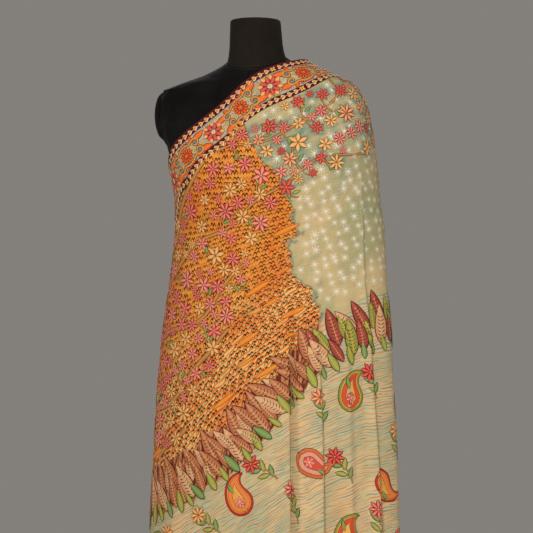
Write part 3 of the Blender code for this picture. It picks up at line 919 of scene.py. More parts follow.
class Net:
    """Short way to add and link the nodes of one tree."""

    def __init__(self, tree):
        self.tree = tree

    def add(self, kind, settings=(), **inputs):
        made = self.tree.nodes.new(kind)
        for name, value in dict(settings).items():
            setattr(made, name, value)
        for name, value in inputs.items():
            self.feed(made.inputs[name.replace("_", " ")], value)
        return made

    def take(self, kind, output, settings=(), **inputs):
        """One output of a new node."""
        return Wire(self, self.add(kind, settings, **inputs).outputs[output])

    def feed(self, socket, value):
        if isinstance(value, Wire):
            self.tree.links.new(value.socket, socket)
        elif socket.type == "RGBA" and len(value) == 3:
            socket.default_value = (*value, 1.0)
        else:
            socket.default_value = value

    def wires(self, node):
        """Every output of a node, by name."""
        return {socket.name: Wire(self, socket) for socket in node.outputs}

    def parts(self, vector):
        return self.wires(self.add("ShaderNodeSeparateXYZ", Vector=vector)).values()

    def group(self, name, **inputs):
        return self.wires(self.add("ShaderNodeGroup", {"node_tree": bpy.data.node_groups[name]}, **inputs))

    def mix(self, factor, first, second, blend="MIX"):
        made = self.add("ShaderNodeMix", {"data_type": "RGBA", "blend_type": blend})
        for index, value in ((0, factor), (6, first), (7, second)):
            self.feed(made.inputs[index], value)
        return Wire(self, made.outputs[2])

    def shaded(self, colour, grey):
        """A colour darkened by a share of grey."""
        shade = self.take("ShaderNodeCombineColor", 0, Red=grey, Green=grey, Blue=grey)
        return self.mix(1.0, colour, shade, "MULTIPLY")

    def noise(self, vector, scale, detail=2.0):
        return self.take("ShaderNodeTexNoise", "Fac", Vector=vector, Scale=scale, Detail=detail)

    def chance(self, row, spot=None):
        """A random number for each whole number of row, or of spot and row."""
        if spot is None:
            return self.take("ShaderNodeTexWhiteNoise", "Value", {"noise_dimensions": "1D"}, W=row)
        cell = self.take("ShaderNodeCombineXYZ", 0, X=spot, Y=row)
        return self.take("ShaderNodeTexWhiteNoise", "Value", {"noise_dimensions": "2D"}, Vector=cell)

    def scaled(self, vector, x, y, z=1.0):
        return self.take("ShaderNodeMapping", 0, Vector=vector, Scale=(x, y, z))

    def uv(self, name):
        return self.take("ShaderNodeUVMap", 0, {"uv_map": name})

    def attribute(self, name, output="Fac"):
        return self.take("ShaderNodeAttribute", output, {"attribute_name": name})

    def object_place(self):
        return self.take("ShaderNodeTexCoord", "Object")


FULL_TURN = 6.2832
HALF_TURN = 3.1416


def new_group(name, **numbers):
    """Node group that takes a Place and the named numbers; returns its net and its inputs."""
    tree = bpy.data.node_groups.new(name, "ShaderNodeTree")
    tree.interface.new_socket(name="Place", in_out="INPUT", socket_type="NodeSocketVector")
    for title, default in numbers.items():
        socket = tree.interface.new_socket(name=title, in_out="INPUT", socket_type="NodeSocketFloat")
        socket.default_value = default
    net = Net(tree)
    return net, net.wires(net.add("NodeGroupInput"))


def put_out(net, **values):
    """Gives a node group its named outputs."""
    for title in values:
        net.tree.interface.new_socket(name=title, in_out="OUTPUT", socket_type="NodeSocketFloat")
    net.add("NodeGroupOutput", **values)


def make_fine_twill():
    """Diagonal weave and slubs as a height, and a slight darkening between yarns as painted shade: darker
    where the slubs lie lower.
    """
    net, given = new_group("fine_twill", Yarn=0.0007)
    u, v, _ = net.parts(given["Place"])
    ribs = ((u + v) / given["Yarn"] * FULL_TURN).sine()
    cross = ((u - v) / given["Yarn"] * HALF_TURN).sine()
    slub = net.noise(net.scaled(given["Place"], 60.0, 900.0), 1.0, 3.0)
    put_out(net, Height=ribs * 0.35 + cross * 0.2 + slub, Shade=slub * 0.22 + 0.89)


def make_seed_scallops():
    """Rows of small paired arches, jittered and now and then left out.

    It also puts out a shade under each arch and a stripe between the rows.
    """
    net, given = new_group("seed_scallops", Width=0.0204, Rise=0.0104, Bold=0.132, Arch=0.52)
    u, v, _ = net.parts(given["Place"])
    sway = net.noise(given["Place"], 20.0)
    rise = v / given["Rise"] + sway * 1.8
    row = rise.floor()
    low = rise.fract() - 0.5
    pair = u / given["Width"] + net.chance(row) * 7.0
    chance = net.chance(row, pair.floor())
    across = pair.fract() - 0.5
    swing = across * (math.pi / 0.37)
    arch = abs(swing.sine()) * given["Arch"]
    below = low + (chance - 0.5) * 0.44 + (arch - 0.12)
    steep = abs(swing.cosine()) * 0.85 + 0.95
    thick = given["Bold"] * steep * abs(across).step(0.40, 0.30)
    there = (abs(across) < 0.385) * (chance > 0.05)
    put_out(
        net,
        Mask=(thick - abs(below)).step(-0.03, 0.02) * there,
        Under=below.step(-0.10, 0.02) * below.step(0.56, 0.12),
        Stripe=(low + (sway - 0.5) * 0.8).step(-0.02, 0.22),
    )


def make_ripple_lines():
    """Long fine strokes along the grain, broken up: by turns cool ones and warm ones."""
    net, given = new_group("ripple_lines", Spacing=0.0052)
    _, v, _ = net.parts(given["Place"])
    sway = net.noise(net.scaled(given["Place"], 14.0, 20.0), 1.0)
    rise = v / given["Spacing"] + sway * 5.0
    line = abs(rise.fract() - 0.5).step(0.34, 0.10)
    patchy = net.noise(net.scaled(given["Place"], 16.0, 150.0), 1.0)
    wide = net.noise(net.scaled(given["Place"], 5.0, 7.0), 1.0, 1.0)
    turn = rise.floor().pingpong(1.0) * 0.30 + wide
    put_out(
        net,
        Cool=line * (patchy.step(0.44, 0.56) * turn.step(0.40, 0.60)),
        Warm=line * (patchy.step(0.58, 0.46) * turn.step(0.72, 0.52)),
    )


def make_short_dashes():
    """Close hand-drawn dashes, as a mask and a random tint for each."""
    net, given = new_group("short_dashes", Length=0.0048, Gap=0.0024)
    u, v, _ = net.parts(given["Place"])
    rise = v / given["Gap"]
    row = rise.floor()
    dash = u / given["Length"] + net.chance(row) * 5.0
    chance = net.chance(row, dash.floor())
    put_out(net, Mask=(dash.fract() < 0.70) * (rise.fract() < 0.6) * (chance > 0.30), Tint=chance)


def make_stitch_relief():
    """Fine parallel threads of satin stitch: a height, and a slight change of shade from thread to thread."""
    net, given = new_group("stitch_relief", Thread=0.0006)
    x, y, _ = net.parts(given["Place"])
    sway = net.noise(given["Place"], 300.0)
    thread = (y * 0.35 + x) / given["Thread"] + sway
    shade = net.chance(thread.floor()) * 0.20 + (sway * 0.16 + 0.80)
    put_out(net, Height=abs((thread * HALF_TURN).sine()), Shade=shade)


def make_soft_wear():
    """Uneven dust and handling, as a mask."""
    net, given = new_group("soft_wear", Size=14.0)
    wide = net.noise(given["Place"], given["Size"], 3.0)
    put_out(net, Mask=wide.step(0.35, 0.72), Fine=net.noise(given["Place"], given["Size"] * 22.0))


def make_groups():
    make_fine_twill()
    make_seed_scallops()
    make_ripple_lines()
    make_short_dashes()
    make_stitch_relief()
    make_soft_wear()


def new_look(name):
    """Empty material: its net, its surface shader and the material."""
    look = bpy.data.materials.new(name)
    look.use_nodes = True
    return Net(look.node_tree), look.node_tree.nodes["Principled BSDF"], look


def dress_surface(net, shader, colour, rough, relief, **plain):
    """Feeds the surface shader a colour, a roughness, a relief and plain values by name.

    The relief is a height, the distance that 1 stands for and its strength.
    """
    height, distance, strength = relief
    bump = net.take("ShaderNodeBump", "Normal", Height=height, Distance=distance, Strength=strength)
    for name, value in dict(plain, Base_Color=colour, Roughness=rough, Normal=bump).items():
        net.feed(shader.inputs[name.replace("_", " ")], value)


def amber_ground(net, place, wide, lowness):
    """Warm ground: dark paired arches on amber, and low down on stripes of orange and cream."""
    dyes = bpy.context.scene.shawl_dyes
    nearly_low = lowness.step(-0.28, -0.12)
    arch = nearly_low * -0.14 + 0.52
    seeds = net.group("seed_scallops", Place=net.uv("drawn"), Arch=arch, Bold=nearly_low * 0.006 + 0.132)
    high_amber = net.mix(seeds["Under"] * 0.74, dyes.amber, dyes.amber_deep)
    low_amber = net.mix(seeds["Stripe"], dyes.amber_light, dyes.amber_orange)
    amber = net.mix((lowness + wide * 0.16).step(-0.19, -0.03), high_amber, low_amber)
    amber = net.mix(wide.step(0.56, 0.34) * 0.50, amber, dyes.amber_deep)
    amber = net.mix(net.noise(place, 17.0).step(0.60, 0.72) * 0.42, amber, dyes.moss)
    return net.mix(seeds["Mask"] * 0.95, amber, dyes.seed_dark)


def sage_ground(net, place, wide, streak, lowness):
    """Cool ground: sage and cream, with teal in patches and round the blossoms, and fine brushing."""
    dyes = bpy.context.scene.shawl_dyes
    sage = net.mix(wide.step(0.34, 0.66), dyes.sage, dyes.cream)
    patches = net.noise(place, 15.0, 3.0).step(0.54, 0.76) * 0.50
    teal = patches.larger(net.attribute("halo") * (streak.step(0.34, 0.58) * 0.72))
    sage = net.mix(teal * lowness.step(-0.02, -0.10), sage, dyes.teal)
    brushed = net.noise(net.scaled(place, 60.0, 200.0), 1.0, 3.0)
    sage = net.mix(brushed.step(0.52, 0.72) * 0.46, sage, dyes.cream)
    return net.mix(brushed.step(0.46, 0.34) * 0.22, sage, dyes.stroke_warm)


def low_ground(net, place, wide, warmth, depth):
    """Lower field: ripples on cream and sage, below a hatched rust strip on the warm side."""
    dyes = bpy.context.scene.shawl_dyes
    low = net.mix(wide.step(0.35, 0.65), dyes.cream_low, dyes.sage_low)
    ripples = net.group("ripple_lines", Place=place)
    low = net.mix(ripples["Cool"] * 0.74, low, dyes.stroke_cool)
    low = net.mix(ripples["Warm"] * 0.66, low, dyes.stroke_warm)
    hatching = net.noise(net.scaled(place, 150.0, 40.0), 1.0).step(0.44, 0.56)
    rust = net.mix(warmth.step(-0.01, 0.01), low, net.mix(hatching, dyes.rust, dyes.rust_light))
    return net.mix(depth.step(0.096, 0.102), rust, low)


# Painted stripes of the border: where each starts and ends, from the cloth's edge, and its dye.
GUARD_STRIPES = (
    (-0.0100, 0.0145, "guard"),
    (0.0145, 0.0158, "band_blue"),
    (0.0656, 0.0668, "band_blue"),
    (0.0668, 0.0805, "guard"),
)
STRIPE_BLUR = 0.00012


def with_border(net, place, across, streak, field):
    """The field inside its border: a dashed pale band between two guard stripes."""
    dyes = bpy.context.scene.shawl_dyes
    ink = net.group("short_dashes", Place=place)
    band = net.mix(streak.step(0.40, 0.62), dyes.band_pale, dyes.cream)
    band = net.mix(ink["Mask"] * 0.85, band, net.mix(ink["Tint"] > 0.72, dyes.band_blue, dyes.band_green))
    colour = net.mix(across.step(0.0808, 0.0812), band, field)
    for start, end, dye in GUARD_STRIPES:
        colour = net.mix(across.between(start, end, STRIPE_BLUR), colour, getattr(dyes, dye))
    return colour


def shawl_ground_look():
    """Dyed and drawn ground of the shawl, from its grain coordinates and its distances from the edges."""
    net, shader, look = new_look("shawl_ground")
    place = net.uv("grain")
    across, warmth, lowness = (net.attribute(name) for name in ("across", "warmth", "lowness"))
    wide = net.noise(place, 9.0, 3.0)
    streak = net.noise(net.scaled(place, 16.0, 70.0), 1.0, 3.0)
    ragged = net.noise(place, 70.0)
    warmth = warmth + (ragged - 0.5) * 0.030
    depth = lowness + (net.noise(place, 16.0) - 0.5) * 0.040

    sage = sage_ground(net, place, wide, streak, lowness)
    field = net.mix(warmth.step(-0.002, 0.002), sage, amber_ground(net, place, wide, lowness))
    field = net.mix(abs(warmth).step(0.0052, 0.0012) * 0.55, field, bpy.context.scene.shawl_dyes.teal)
    field = net.mix(depth.step(-0.003, 0.003), field, low_ground(net, place, wide, warmth, depth))
    colour = with_border(net, place, across, streak, field)

    weave = net.group("fine_twill", Place=place)
    colour = net.shaded(colour, net.noise(place, 55.0, 3.0) * 0.24 + 0.88)
    # painted shade of the weave: darker where its slubs lie lower
    colour = net.shaded(colour, weave["Shade"])
    dress_surface(
        net, shader, colour, ragged * 0.18 + 0.68, (weave["Height"], 0.00018, 0.8),
        Sheen_Weight=0.05, Sheen_Roughness=0.45, Sheen_Tint=(1.0, 0.93, 0.82), Specular_IOR_Level=0.15,
    )
    return look


def thread_look(name, sheen=0.2, rough=0.55):
    """Satin-stitched thread in the colours that the piece carries."""
    net, shader, look = new_look(name)
    relief = net.group("stitch_relief", Place=net.uv("stitch"))
    colour = net.shaded(net.attribute("thread", "Color"), relief["Shade"])
    dress_surface(
        net, shader, colour, relief["Shade"] * 0.2 + (rough - 0.15), (relief["Height"], 0.00012, 0.7),
        Sheen_Weight=0.4 * sheen, Sheen_Roughness=0.4, Specular_IOR_Level=0.22,
    )
    return look


KNIT_WALES = 3900.0
KNIT_COURSES = 3500.0


def jersey_look(name, colour, seams):
    """Close black jersey with fine ribs and dust; a seam (a, b, c, d) runs where ax + by + cz is d."""
    net, shader, look = new_look(name)
    place = net.object_place()
    x, y, z = net.parts(place)
    wales = ((abs(x) + abs(y)) * KNIT_WALES).sine()
    courses = (z * KNIT_COURSES).sine()
    wear = net.group("soft_wear", Place=place)
    knit = wales * 0.30 + courses * 0.30 + wear["Fine"]
    dusty = tuple(min(1.0, c * 1.7 + 0.006) for c in colour)
    paint = net.mix(wear["Mask"] * 0.5, colour, dusty)
    lines = [abs(x * a + (y * b + (z * c - d))).step(0.0016, 0.0003) for a, b, c, d in seams]
    if lines:
        groove = functools.reduce(Wire.larger, lines)
        paint = net.mix(groove, paint, tuple(c * 0.45 for c in colour))
        knit = knit - groove * 6.0
    dress_surface(
        net, shader, paint, wear["Fine"] * 0.2 + 0.70, (knit, 0.00015, 0.6),
        Sheen_Weight=0.02, Sheen_Roughness=0.5, Specular_IOR_Level=0.10,
    )
    return look


def painted_metal_look(name, colour, rough, metallic):
    """Painted or plated metal with fine spatter, rubbed patches and dust."""
    net, shader, look = new_look(name)
    wear = net.group("soft_wear", Place=net.object_place(), Size=18.0)
    paint = net.mix(wear["Mask"] * 0.6, colour, tuple(min(1.0, c * 1.8 + 0.01) for c in colour))
    relief = (wear["Fine"], 0.00012, 0.5)
    dress_surface(net, shader, paint, wear["Mask"] * 0.16 + rough, relief, Metallic=metallic)
    return look


# ---------------------------------------------------------------- settings


def colour_setting(name, description, colour):
    return bpy.props.FloatVectorProperty(
        name=name, description=description, subtype="COLOR", size=3, min=0.0, max=1.0, default=tone(*colour)
    )


def length_setting(name, description, value):
    return bpy.props.FloatProperty(
        name=name,
        description=description,
        default=value,
        min=0.0,
        unit="LENGTH",
        subtype="DISTANCE",
        precision=4,
    )


def count_setting(name, description, value, least, most):
    return bpy.props.IntProperty(name=name, description=description, default=value, min=least, max=most)


def power_setting(name, description, value):
    return bpy.props.FloatProperty(name=name, description=description, default=value, min=0.0, unit="POWER")


class ShawlClothSettings(bpy.types.PropertyGroup):
    """Sizes of the cloth itself."""

    flat_width: length_setting("Flat width", "Width of the cloth laid flat", 1.07)
    flat_length: length_setting("Flat length", "Length of the part of the cloth that shows, laid flat", 1.55)
    thickness: length_setting("Thickness", "Thickness of the cloth", 0.0011)
    roll_radius: length_setting("Rolled edge radius", "Radius of the hand-rolled edge", 0.0016)
    columns: count_setting("Columns", "Columns of the cloth's grid", 318, 80, 600)
    rows: count_setting("Rows", "Rows of the cloth's grid", 142, 40, 300)


class ShawlPatternSettings(bpy.types.PropertyGroup):
    """Sizes and spacings of the embroidered pattern."""

    border_width: length_setting("Border width", "Depth of the border along each edge", 0.0815)
    heart_pitch: length_setting("Heart pitch", "Spacing of the hearts in the guard chains", 0.0137)
    flower_pitch: length_setting("Border flower pitch", "Spacing from a marigold to the next rosette", 0.0715)
    vine_spacing: length_setting("Vine spacing", "Distance between neighbouring vines", 0.118)
    stem_spacing: length_setting("Stem spacing", "Distance between side stems on a vine", 0.050)
    blossom_size: length_setting("Blossom size", "Reach across the largest open blossom", 0.038)
    blossom_step: length_setting("Blossom spacing", "Distance between blossoms of the lattice", 0.0268)
    leaf_height: length_setting("Leaf height", "Length of the tallest leaves of the leaf row", 0.076)
    cone_height: length_setting("Cone height", "Length of a cone motif", 0.094)
    cone_spacing: length_setting("Cone spacing", "Distance between cone motifs in a row", 0.134)
    star_spacing: length_setting("Star spacing", "Distance between the small white stars", 0.0228)


class ShawlDyeSettings(bpy.types.PropertyGroup):
    """Colours of the dyed ground."""

    amber: colour_setting("Amber", "Main warm ground", (244, 165, 70))
    amber_deep: colour_setting("Deep amber", "Warm ground under each seed stitch", (224, 92, 26))
    amber_light: colour_setting("Light amber", "Pale rows low on the warm ground", (244, 204, 130))
    amber_orange: colour_setting("Orange", "Orange rows low on the warm ground", (234, 116, 34))
    moss: colour_setting("Moss", "Green tints on the warm ground", (140, 134, 52))
    seed_dark: colour_setting("Seed stitches", "Dark seed stitches on the warm ground", (24, 11, 6))
    sage: colour_setting("Sage", "Main cool ground", (176, 174, 130))
    teal: colour_setting("Teal", "Teal shading of the cool ground", (84, 144, 138))
    cream: colour_setting("Cream", "Light parts of the cool ground", (218, 194, 144))
    cream_low: colour_setting("Low cream", "Light ground of the lower field", (232, 204, 154))
    sage_low: colour_setting("Low sage", "Cool ground of the lower field", (202, 194, 150))
    rust: colour_setting("Rust", "Dark ground under the leaf row", (120, 50, 28))
    rust_light: colour_setting("Light rust", "Light hatching under the leaf row", (206, 140, 96))
    stroke_cool: colour_setting("Cool strokes", "Blue-green strokes of the lower field", (84, 140, 144))
    stroke_warm: colour_setting("Warm strokes", "Orange strokes of the lower field", (224, 120, 68))
    guard: colour_setting("Guard", "Maroon guard stripes", (98, 10, 18))
    band_pale: colour_setting("Band ground", "Pale ground of the border band", (208, 172, 108))
    band_blue: colour_setting("Band blue", "Blue dashes of the border band", (148, 170, 182))
    band_green: colour_setting("Band green", "Dark dashes of the border band", (74, 104, 122))


class ShawlFormSettings(bpy.types.PropertyGroup):
    """Colours of the dress form and its stand."""

    cover: colour_setting("Cover", "Jersey cover of the form", (13, 11, 9))
    neck: colour_setting("Neck cap", "Cover of the neck cap", (30, 25, 19))
    metal: colour_setting("Metal", "Stand metal", (28, 28, 30))


class ShawlStageSettings(bpy.types.PropertyGroup):
    """Floor, lights and camera."""

    floor_radius: length_setting("Floor radius", "Radius of the plain floor", 3.3)
    floor_colour: colour_setting("Floor colour", "Colour of the floor", (214, 208, 198))
    key_power: power_setting("Key light", "Power of the main soft light", 84.0)
    fill_power: power_setting("Fill light", "Power of the fill light", 6.0)
    camera_distance: length_setting("Camera distance", "Distance from the camera to the object", 3.6)
    camera_height: length_setting("Camera height", "Height of the camera above the floor", 1.121)
    camera_turn: bpy.props.FloatProperty(
        name="Camera turn",
        description="Camera's turn round the object",
        default=math.radians(15.0),
        subtype="ANGLE",
        unit="ROTATION",
    )


# ---------------------------------------------------------------- operators


class SHAWL_OT_cloth(bpy.types.Operator):
    """Make the draped cloth as one thin sheet"""

    bl_idname = "shawl.cloth"
    bl_label = "Cloth"

    def execute(self, context):
        made = shawl_cloth(context.scene.shawl_cloth)
        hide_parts("shawl_front", "shawl_side_fall", "shawl_back_fall", "shawl_back_wrap")
        return {"FINISHED"}


COLUMN_SAMPLES = 4151
BEND_HEIGHT = 0.62              # level at which the cloth's bends are measured
LARGEST_SAG = 0.00005
COLUMN_SPACING = (0.0013, 0.0085)
EVEN_OUT = 12


def column_places(count):
    """Places of the grid's columns, closer together where the low part of the cloth bends more."""
    fine = np.linspace(START_PLACE, END_PLACE, COLUMN_SAMPLES)
    low = cloth_point(fine, BEND_HEIGHT + 0.0 * fine)
    step = np.gradient(low, axis=0)
    length = np.linalg.norm(step, axis=1)
    bend = np.linalg.norm(np.gradient(step / length[:, None], axis=0), axis=1) / length
    spacing = np.clip(np.sqrt(8 * LARGEST_SAG / (bend + 1e-6)), *COLUMN_SPACING)
    window = np.ones(2 * EVEN_OUT + 1) / (2 * EVEN_OUT + 1)
    spacing = np.convolve(np.pad(spacing, EVEN_OUT, mode="edge"), window, mode="valid")
    total = np.append(0.0, (length / spacing)[1:].cumsum())
    return np.interp(np.linspace(0, total[-1], count), total, fine)


LEVEL_DEPTH = 0.16
TURN_DEPTH = 0.46
TURN_SHARE = 1.3
LEVEL_ZERO = 1.40


def drawn_row(place, down):
    """Row of the drawn marks: level high on the field, then along the grain, and steeper still low down."""
    share = 1.0 - TURN_SHARE * ease((down - LEVEL_DEPTH) / TURN_DEPTH)
    return (1.0 - share) * down + share * (LEVEL_ZERO - draped_sheet().height(place, down))


HALO_REACH = 0.006


def halo_share(points):
    """1 at the nearest blossom's rim and less with the distance from it."""
    gap = np.full(points.shape[:2], 1.0)
    for centre, reach in zip(*blossom_rounds(garden_plan()[2])):
        gap = np.minimum(gap, np.linalg.norm(points - centre, axis=2) - reach)
    return np.exp(-(np.clip(gap, 0.0, None) / HALO_REACH) ** 2)


def shawl_cloth(sizes):
    """Sheet over the grid of places and depths; its far side is the same surface moved in."""
    sheet = draped_sheet()
    place, down = np.meshgrid(
        column_places(sizes.columns), FULL_DOWN * np.linspace(0.0, 1.0, sizes.rows) ** 1.15, indexing="ij"
    )
    points = sheet.spot(place, down)
    index = np.arange(place.size).reshape(place.shape)
    faces = np.stack([index[:-1, :-1], index[:-1, 1:], index[1:, 1:], index[1:, :-1]], -1).reshape(-1, 4)
    made = new_mesh("shawl_cloth", points.reshape(-1, 3), faces)
    run = sheet.run(place, down)
    for name, row in (("grain", down), ("drawn", drawn_row(place, down))):
        store_uv(made, name, np.stack([run, row], -1).reshape(-1, 2)[faces.reshape(-1)])
    for name, values in (
        ("across", np.array(sheet.margins(place, down)).min(axis=0)),
        ("lowness", down - field_edge("low", place) + 0.006 * np.sin(run * 71.0)),
        ("warmth", warm_margin(place, down)),
        ("halo", halo_share(points)),
    ):
        layer = made.data.attributes.new(name, "FLOAT", "POINT")
        layer.data.foreach_set("value", values.astype(np.float32).reshape(-1))
    wall = made.modifiers.new("wall", "SOLIDIFY")
    wall.thickness = sizes.thickness
    wall.offset = -1.0
    return settle(made, shawl_ground_look())


# Where the warm ground ends: height, and place towards the draped shoulder.
WARM_COLUMNS = ("z", "place")
WARM_EDGE = (
    (0.10, 56.0),
    (0.974, 54.0),
    (1.006, 54.0),
    (1.048, 54.5),
    (1.074, 51.0),
    (1.114, 41.0),
    (1.154, 40.0),
    (1.192, 41.0),
    (1.228, 37.0),
    (1.310, 26.0),
    (1.324, 18.0),
    (1.354, 12.0),
    (1.480, -20.0),
)


def warm_margin(place, down):
    """Signed distance, in metres, into the warm ground: the way to its edge, plus two sine waves."""
    z = draped_sheet().height(place, down)
    edge = smooth_through(column(WARM_EDGE, WARM_COLUMNS, "z"), column(WARM_EDGE, WARM_COLUMNS, "place"), z)
    run = draped_sheet().run(place, down)
    swing = 0.004 * np.sin(run * 61.0 + z * 47.0) + 0.004 * np.sin(z * 118.0)
    return (edge - place) * np.radians(1.0) * MEAN_RADIUS * 0.72 + swing


class SHAWL_OT_rolled_edge(bpy.types.Operator):
    """Make the hand-rolled edge round the cloth"""

    bl_idname = "shawl.rolled_edge"
    bl_label = "Rolled edge"

    def execute(self, context):
        rolled_edge(context.scene.shawl_cloth.roll_radius, context.scene.shawl_cloth.thickness)
        return {"FINISHED"}


ROLL_SIDES = 8


def rolled_edge(radius, thickness):
    """Tube along the cloth's outline: a circle carried along the closed path."""
    sheet = draped_sheet()
    place, down = np.hstack([edge_path(side, 0.0) for side in SIDES])
    spots, normal = sheet.raised(place, down, np.full(place.shape, -thickness / 2))
    ahead = np.roll(spots, -1, axis=0) - np.roll(spots, 1, axis=0)
    ahead /= np.linalg.norm(ahead, axis=1, keepdims=True)
    side = np.cross(ahead, normal)
    side /= np.linalg.norm(side, axis=1, keepdims=True)
    up = np.cross(side, ahead)
    angle = np.linspace(0, 2 * np.pi, ROLL_SIDES, endpoint=False)
    around = np.cos(angle)[:, None] * up[:, None] + np.sin(angle)[:, None] * side[:, None]
    points = (spots[:, None] + radius * around).reshape(-1, 3)
    index = np.arange(len(points)).reshape(-1, ROLL_SIDES)
    right = np.roll(index, -1, axis=1)
    faces = np.stack([index, right, np.roll(right, -1, axis=0), np.roll(index, -1, axis=0)], -1)
    faces = faces.reshape(-1, 4)
    outward = points[faces].mean(axis=1) - spots[faces[:, 0] // ROLL_SIDES]
    colour = np.tile(tone(96, 18, 26), (len(points), 1))
    local = np.stack(np.broadcast_arrays(distance_run(spots)[:, None], radius * angle), -1).reshape(-1, 2)
    look = thread_look("rolled_edge_thread", 0.15, 0.6)
    return stitched_piece("shawl_rolled_edge", points, faces, outward, colour, local, look)


class SHAWL_OT_guard_chains(bpy.types.Operator):
    """Make the chains of hearts and ticks on the two guards of each border"""

    bl_idname = "shawl.guard_chains"
    bl_label = "Guard chains"

    def execute(self, context):
        guard_chains(context.scene.shawl_pattern)
        return {"FINISHED"}


GUARD_INSETS = (0.0075, 0.0735)
BAND_MIDDLE = 0.0405
BAND_START = 0.045


GOLD_EVERY = 11
GOLD_AT = 6


def guard_chains(pattern):
    """Hearts linked by fine lines at even steps on each guard, and now and then a gold cross flower."""
    work = Stitchwork()
    link = outlined(np.array([[0.0040, 0.0], [0.0068, 0.0], [0.0096, 0.0]]), np.full(3, 0.00035), 0.0001)
    chain = together(heart(0.0102), link._replace(mix=np.tile(PURE[LIGHT], (len(link.x), 1))))
    cross = together(ring_of(blade(0.0062, 0.0044, rim=0.0005, rows=4), 4, 45.0), disc(0.0014, 6))
    for side in SIDES:
        for inset in GUARD_INSETS:
            spots = edge_stations(side, inset, pattern.heart_pitch, 0.004, inset - 0.003)
            gold = np.arange(len(spots[0])) % GOLD_EVERY == GOLD_AT
            work.stamp(chain, *pick(~gold, *spots), CREAM)
            work.stamp(cross, *pick(gold, *spots), GOLDEN)
    return work.build("shawl_guard_chains", thread_look("chain_thread", 0.06))


class SHAWL_OT_border_flowers(bpy.types.Operator):
    """Make the marigolds, rosettes, scrolls and leaves of the border band"""

    bl_idname = "shawl.border_flowers"
    bl_label = "Border flowers"

    def execute(self, context):
        border_flowers(context.scene.shawl_pattern)
        return {"FINISHED"}


# Half of a bracket of the border band, in millimetres: x along the band, y across it.
BRACKET = (
    (0.0, -19.9), (7.0, -19.2), (13.0, -16.2), (18.5, -14.4), (24.0, -16.8), (30.5, -18.0),
    (36.0, -14.8), (37.6, -9.2), (34.4, -4.4), (29.0, -3.4), (25.2, -6.8), (25.8, -11.0), (29.2, -12.2),
)
MILLI = 0.001


def band_unit():
    """Marigold between two mirrored brackets, as (shape, threads, raised) in millimetres."""
    half = corner_cut(BRACKET)
    path = np.vstack([half[:0:-1] * (-1.0, 1.0), half])
    ends = np.clip(np.minimum(np.arange(len(path)), np.arange(len(path))[::-1]) / 5.0, 0.45, 1.0)
    bracket = outlined(path, 2.1 * ends, 1.0)
    flame = placed(blade(27.0, 12.6, belly=0.46, rim=1.1, rows=7, bow=-2.8), 5.0, 29.5, 17.2)
    petal = blade(8.8, 5.2, belly=0.6, rim=0.9, rows=3)
    fleur = together(*(placed(petal, turn, 28.0, 20.0) for turn in (112.0, 146.0, 180.0)))
    tooth = blade(6.8, 5.0, belly=0.5, rim=0.8, rows=3)
    teeth = together(*(placed(tooth, 62.0 - 4 * k, 5.6 * k - 4.0, 18.4) for k in range(-2, 3)))
    crossed = ((1, 1), (-1, -1))
    return (
        (together(bracket, bracket._replace(y=-bracket.y)), OCHRE, 0.0003),
        (mirrored(placed(disc(4.0, 8, lift=0.0004), x=31.0, y=10.4)), EYE, 0.0),
        (mirrored(flame), FLAME, 0.0002),
        (mirrored(fleur), MARIGOLD, 0.0),
        (mirrored(teeth, crossed), RED, 0.0),
        (disc(6.4, 12, lift=0.0006, middle_mix=EDGE_MIX, fill=0.9), MARIGOLD, 0.0),
        (ring_of(blade(11.0, 5.0, root=5.4, belly=0.55, rim=1.0, rows=4), 12), MARIGOLD, 0.0003),
        (ring_of(blade(4.6, 3.2, root=1.2, belly=0.6, rim=0.6, rows=3), 7, 20.0), FLAME, 0.0004),
        (disc(1.9, 7, lift=0.0012), MARIGOLD, 0.0002),
    )


def rosettes():
    """The large and the small rosette of the band, as (shape, threads, raised) in millimetres."""
    star = together(ring_of(blade(5.2, 3.2, root=0.4, rim=0.5, rows=3), 8), disc(1.6, 7, lift=0.0012))
    leaf = blade(8.0, 3.6, rim=0.6, rows=3)
    turns = (-24.0, 156.0, 2.0, 182.0, 28.0, 208.0)
    sprig = together(*(placed(leaf, turn, 0.0, 22.0) for turn in turns))
    large = (
        (mirrored(sprig, ((1, 1), (1, -1))), OLIVE, 0.0),
        (ring_of(blade(11.4, 9.4, root=14.2, belly=0.5, rim=1.0, rows=4), 8, 22.5), PEACH, 0.0002),
        (ring_of(blade(17.0, 10.2, root=4.6, belly=0.62, rim=1.0), 8), RED, 0.0004),
        (star, CREAM, 0.0006),
    )
    small = (
        (ring_of(blade(9.8, 8.4, root=12.4, belly=0.55, rim=1.0, rows=4), 7, 30.0), PEACH, 0.0002),
        (ring_of(blade(15.0, 9.8, root=4.2, belly=0.6, rim=1.0), 7), RED, 0.0004),
        (placed(star, size=0.9), CREAM, 0.0006),
    )
    return large, small


def border_flowers(pattern):
    """Marigolds in their brackets and rosettes by turns along the band of every side."""
    work = Stitchwork()
    unit = band_unit()
    large, small = rosettes()
    for side in SIDES:
        spots = edge_stations(side, BAND_MIDDLE, pattern.flower_pitch, BAND_START, BAND_START)
        count = np.arange(len(spots[0]))
        for motif, wanted in ((unit, count % 2 == 1), (large, count % 4 == 0), (small, count % 4 == 2)):
            for shape, palette, raised in motif:
                work.stamp(shape, *pick(wanted, *spots), palette, size=MILLI, raised=raised)
    return work.build("shawl_border_flowers", thread_look("border_thread", 0.2))


class SHAWL_OT_vines(bpy.types.Operator):
    """Make the vines, side stems and leaves of the upper field"""

    bl_idname = "shawl.vines"
    bl_label = "Vines"

    def execute(self, context):
        vines(context.scene.shawl_pattern)
        return {"FINISHED"}


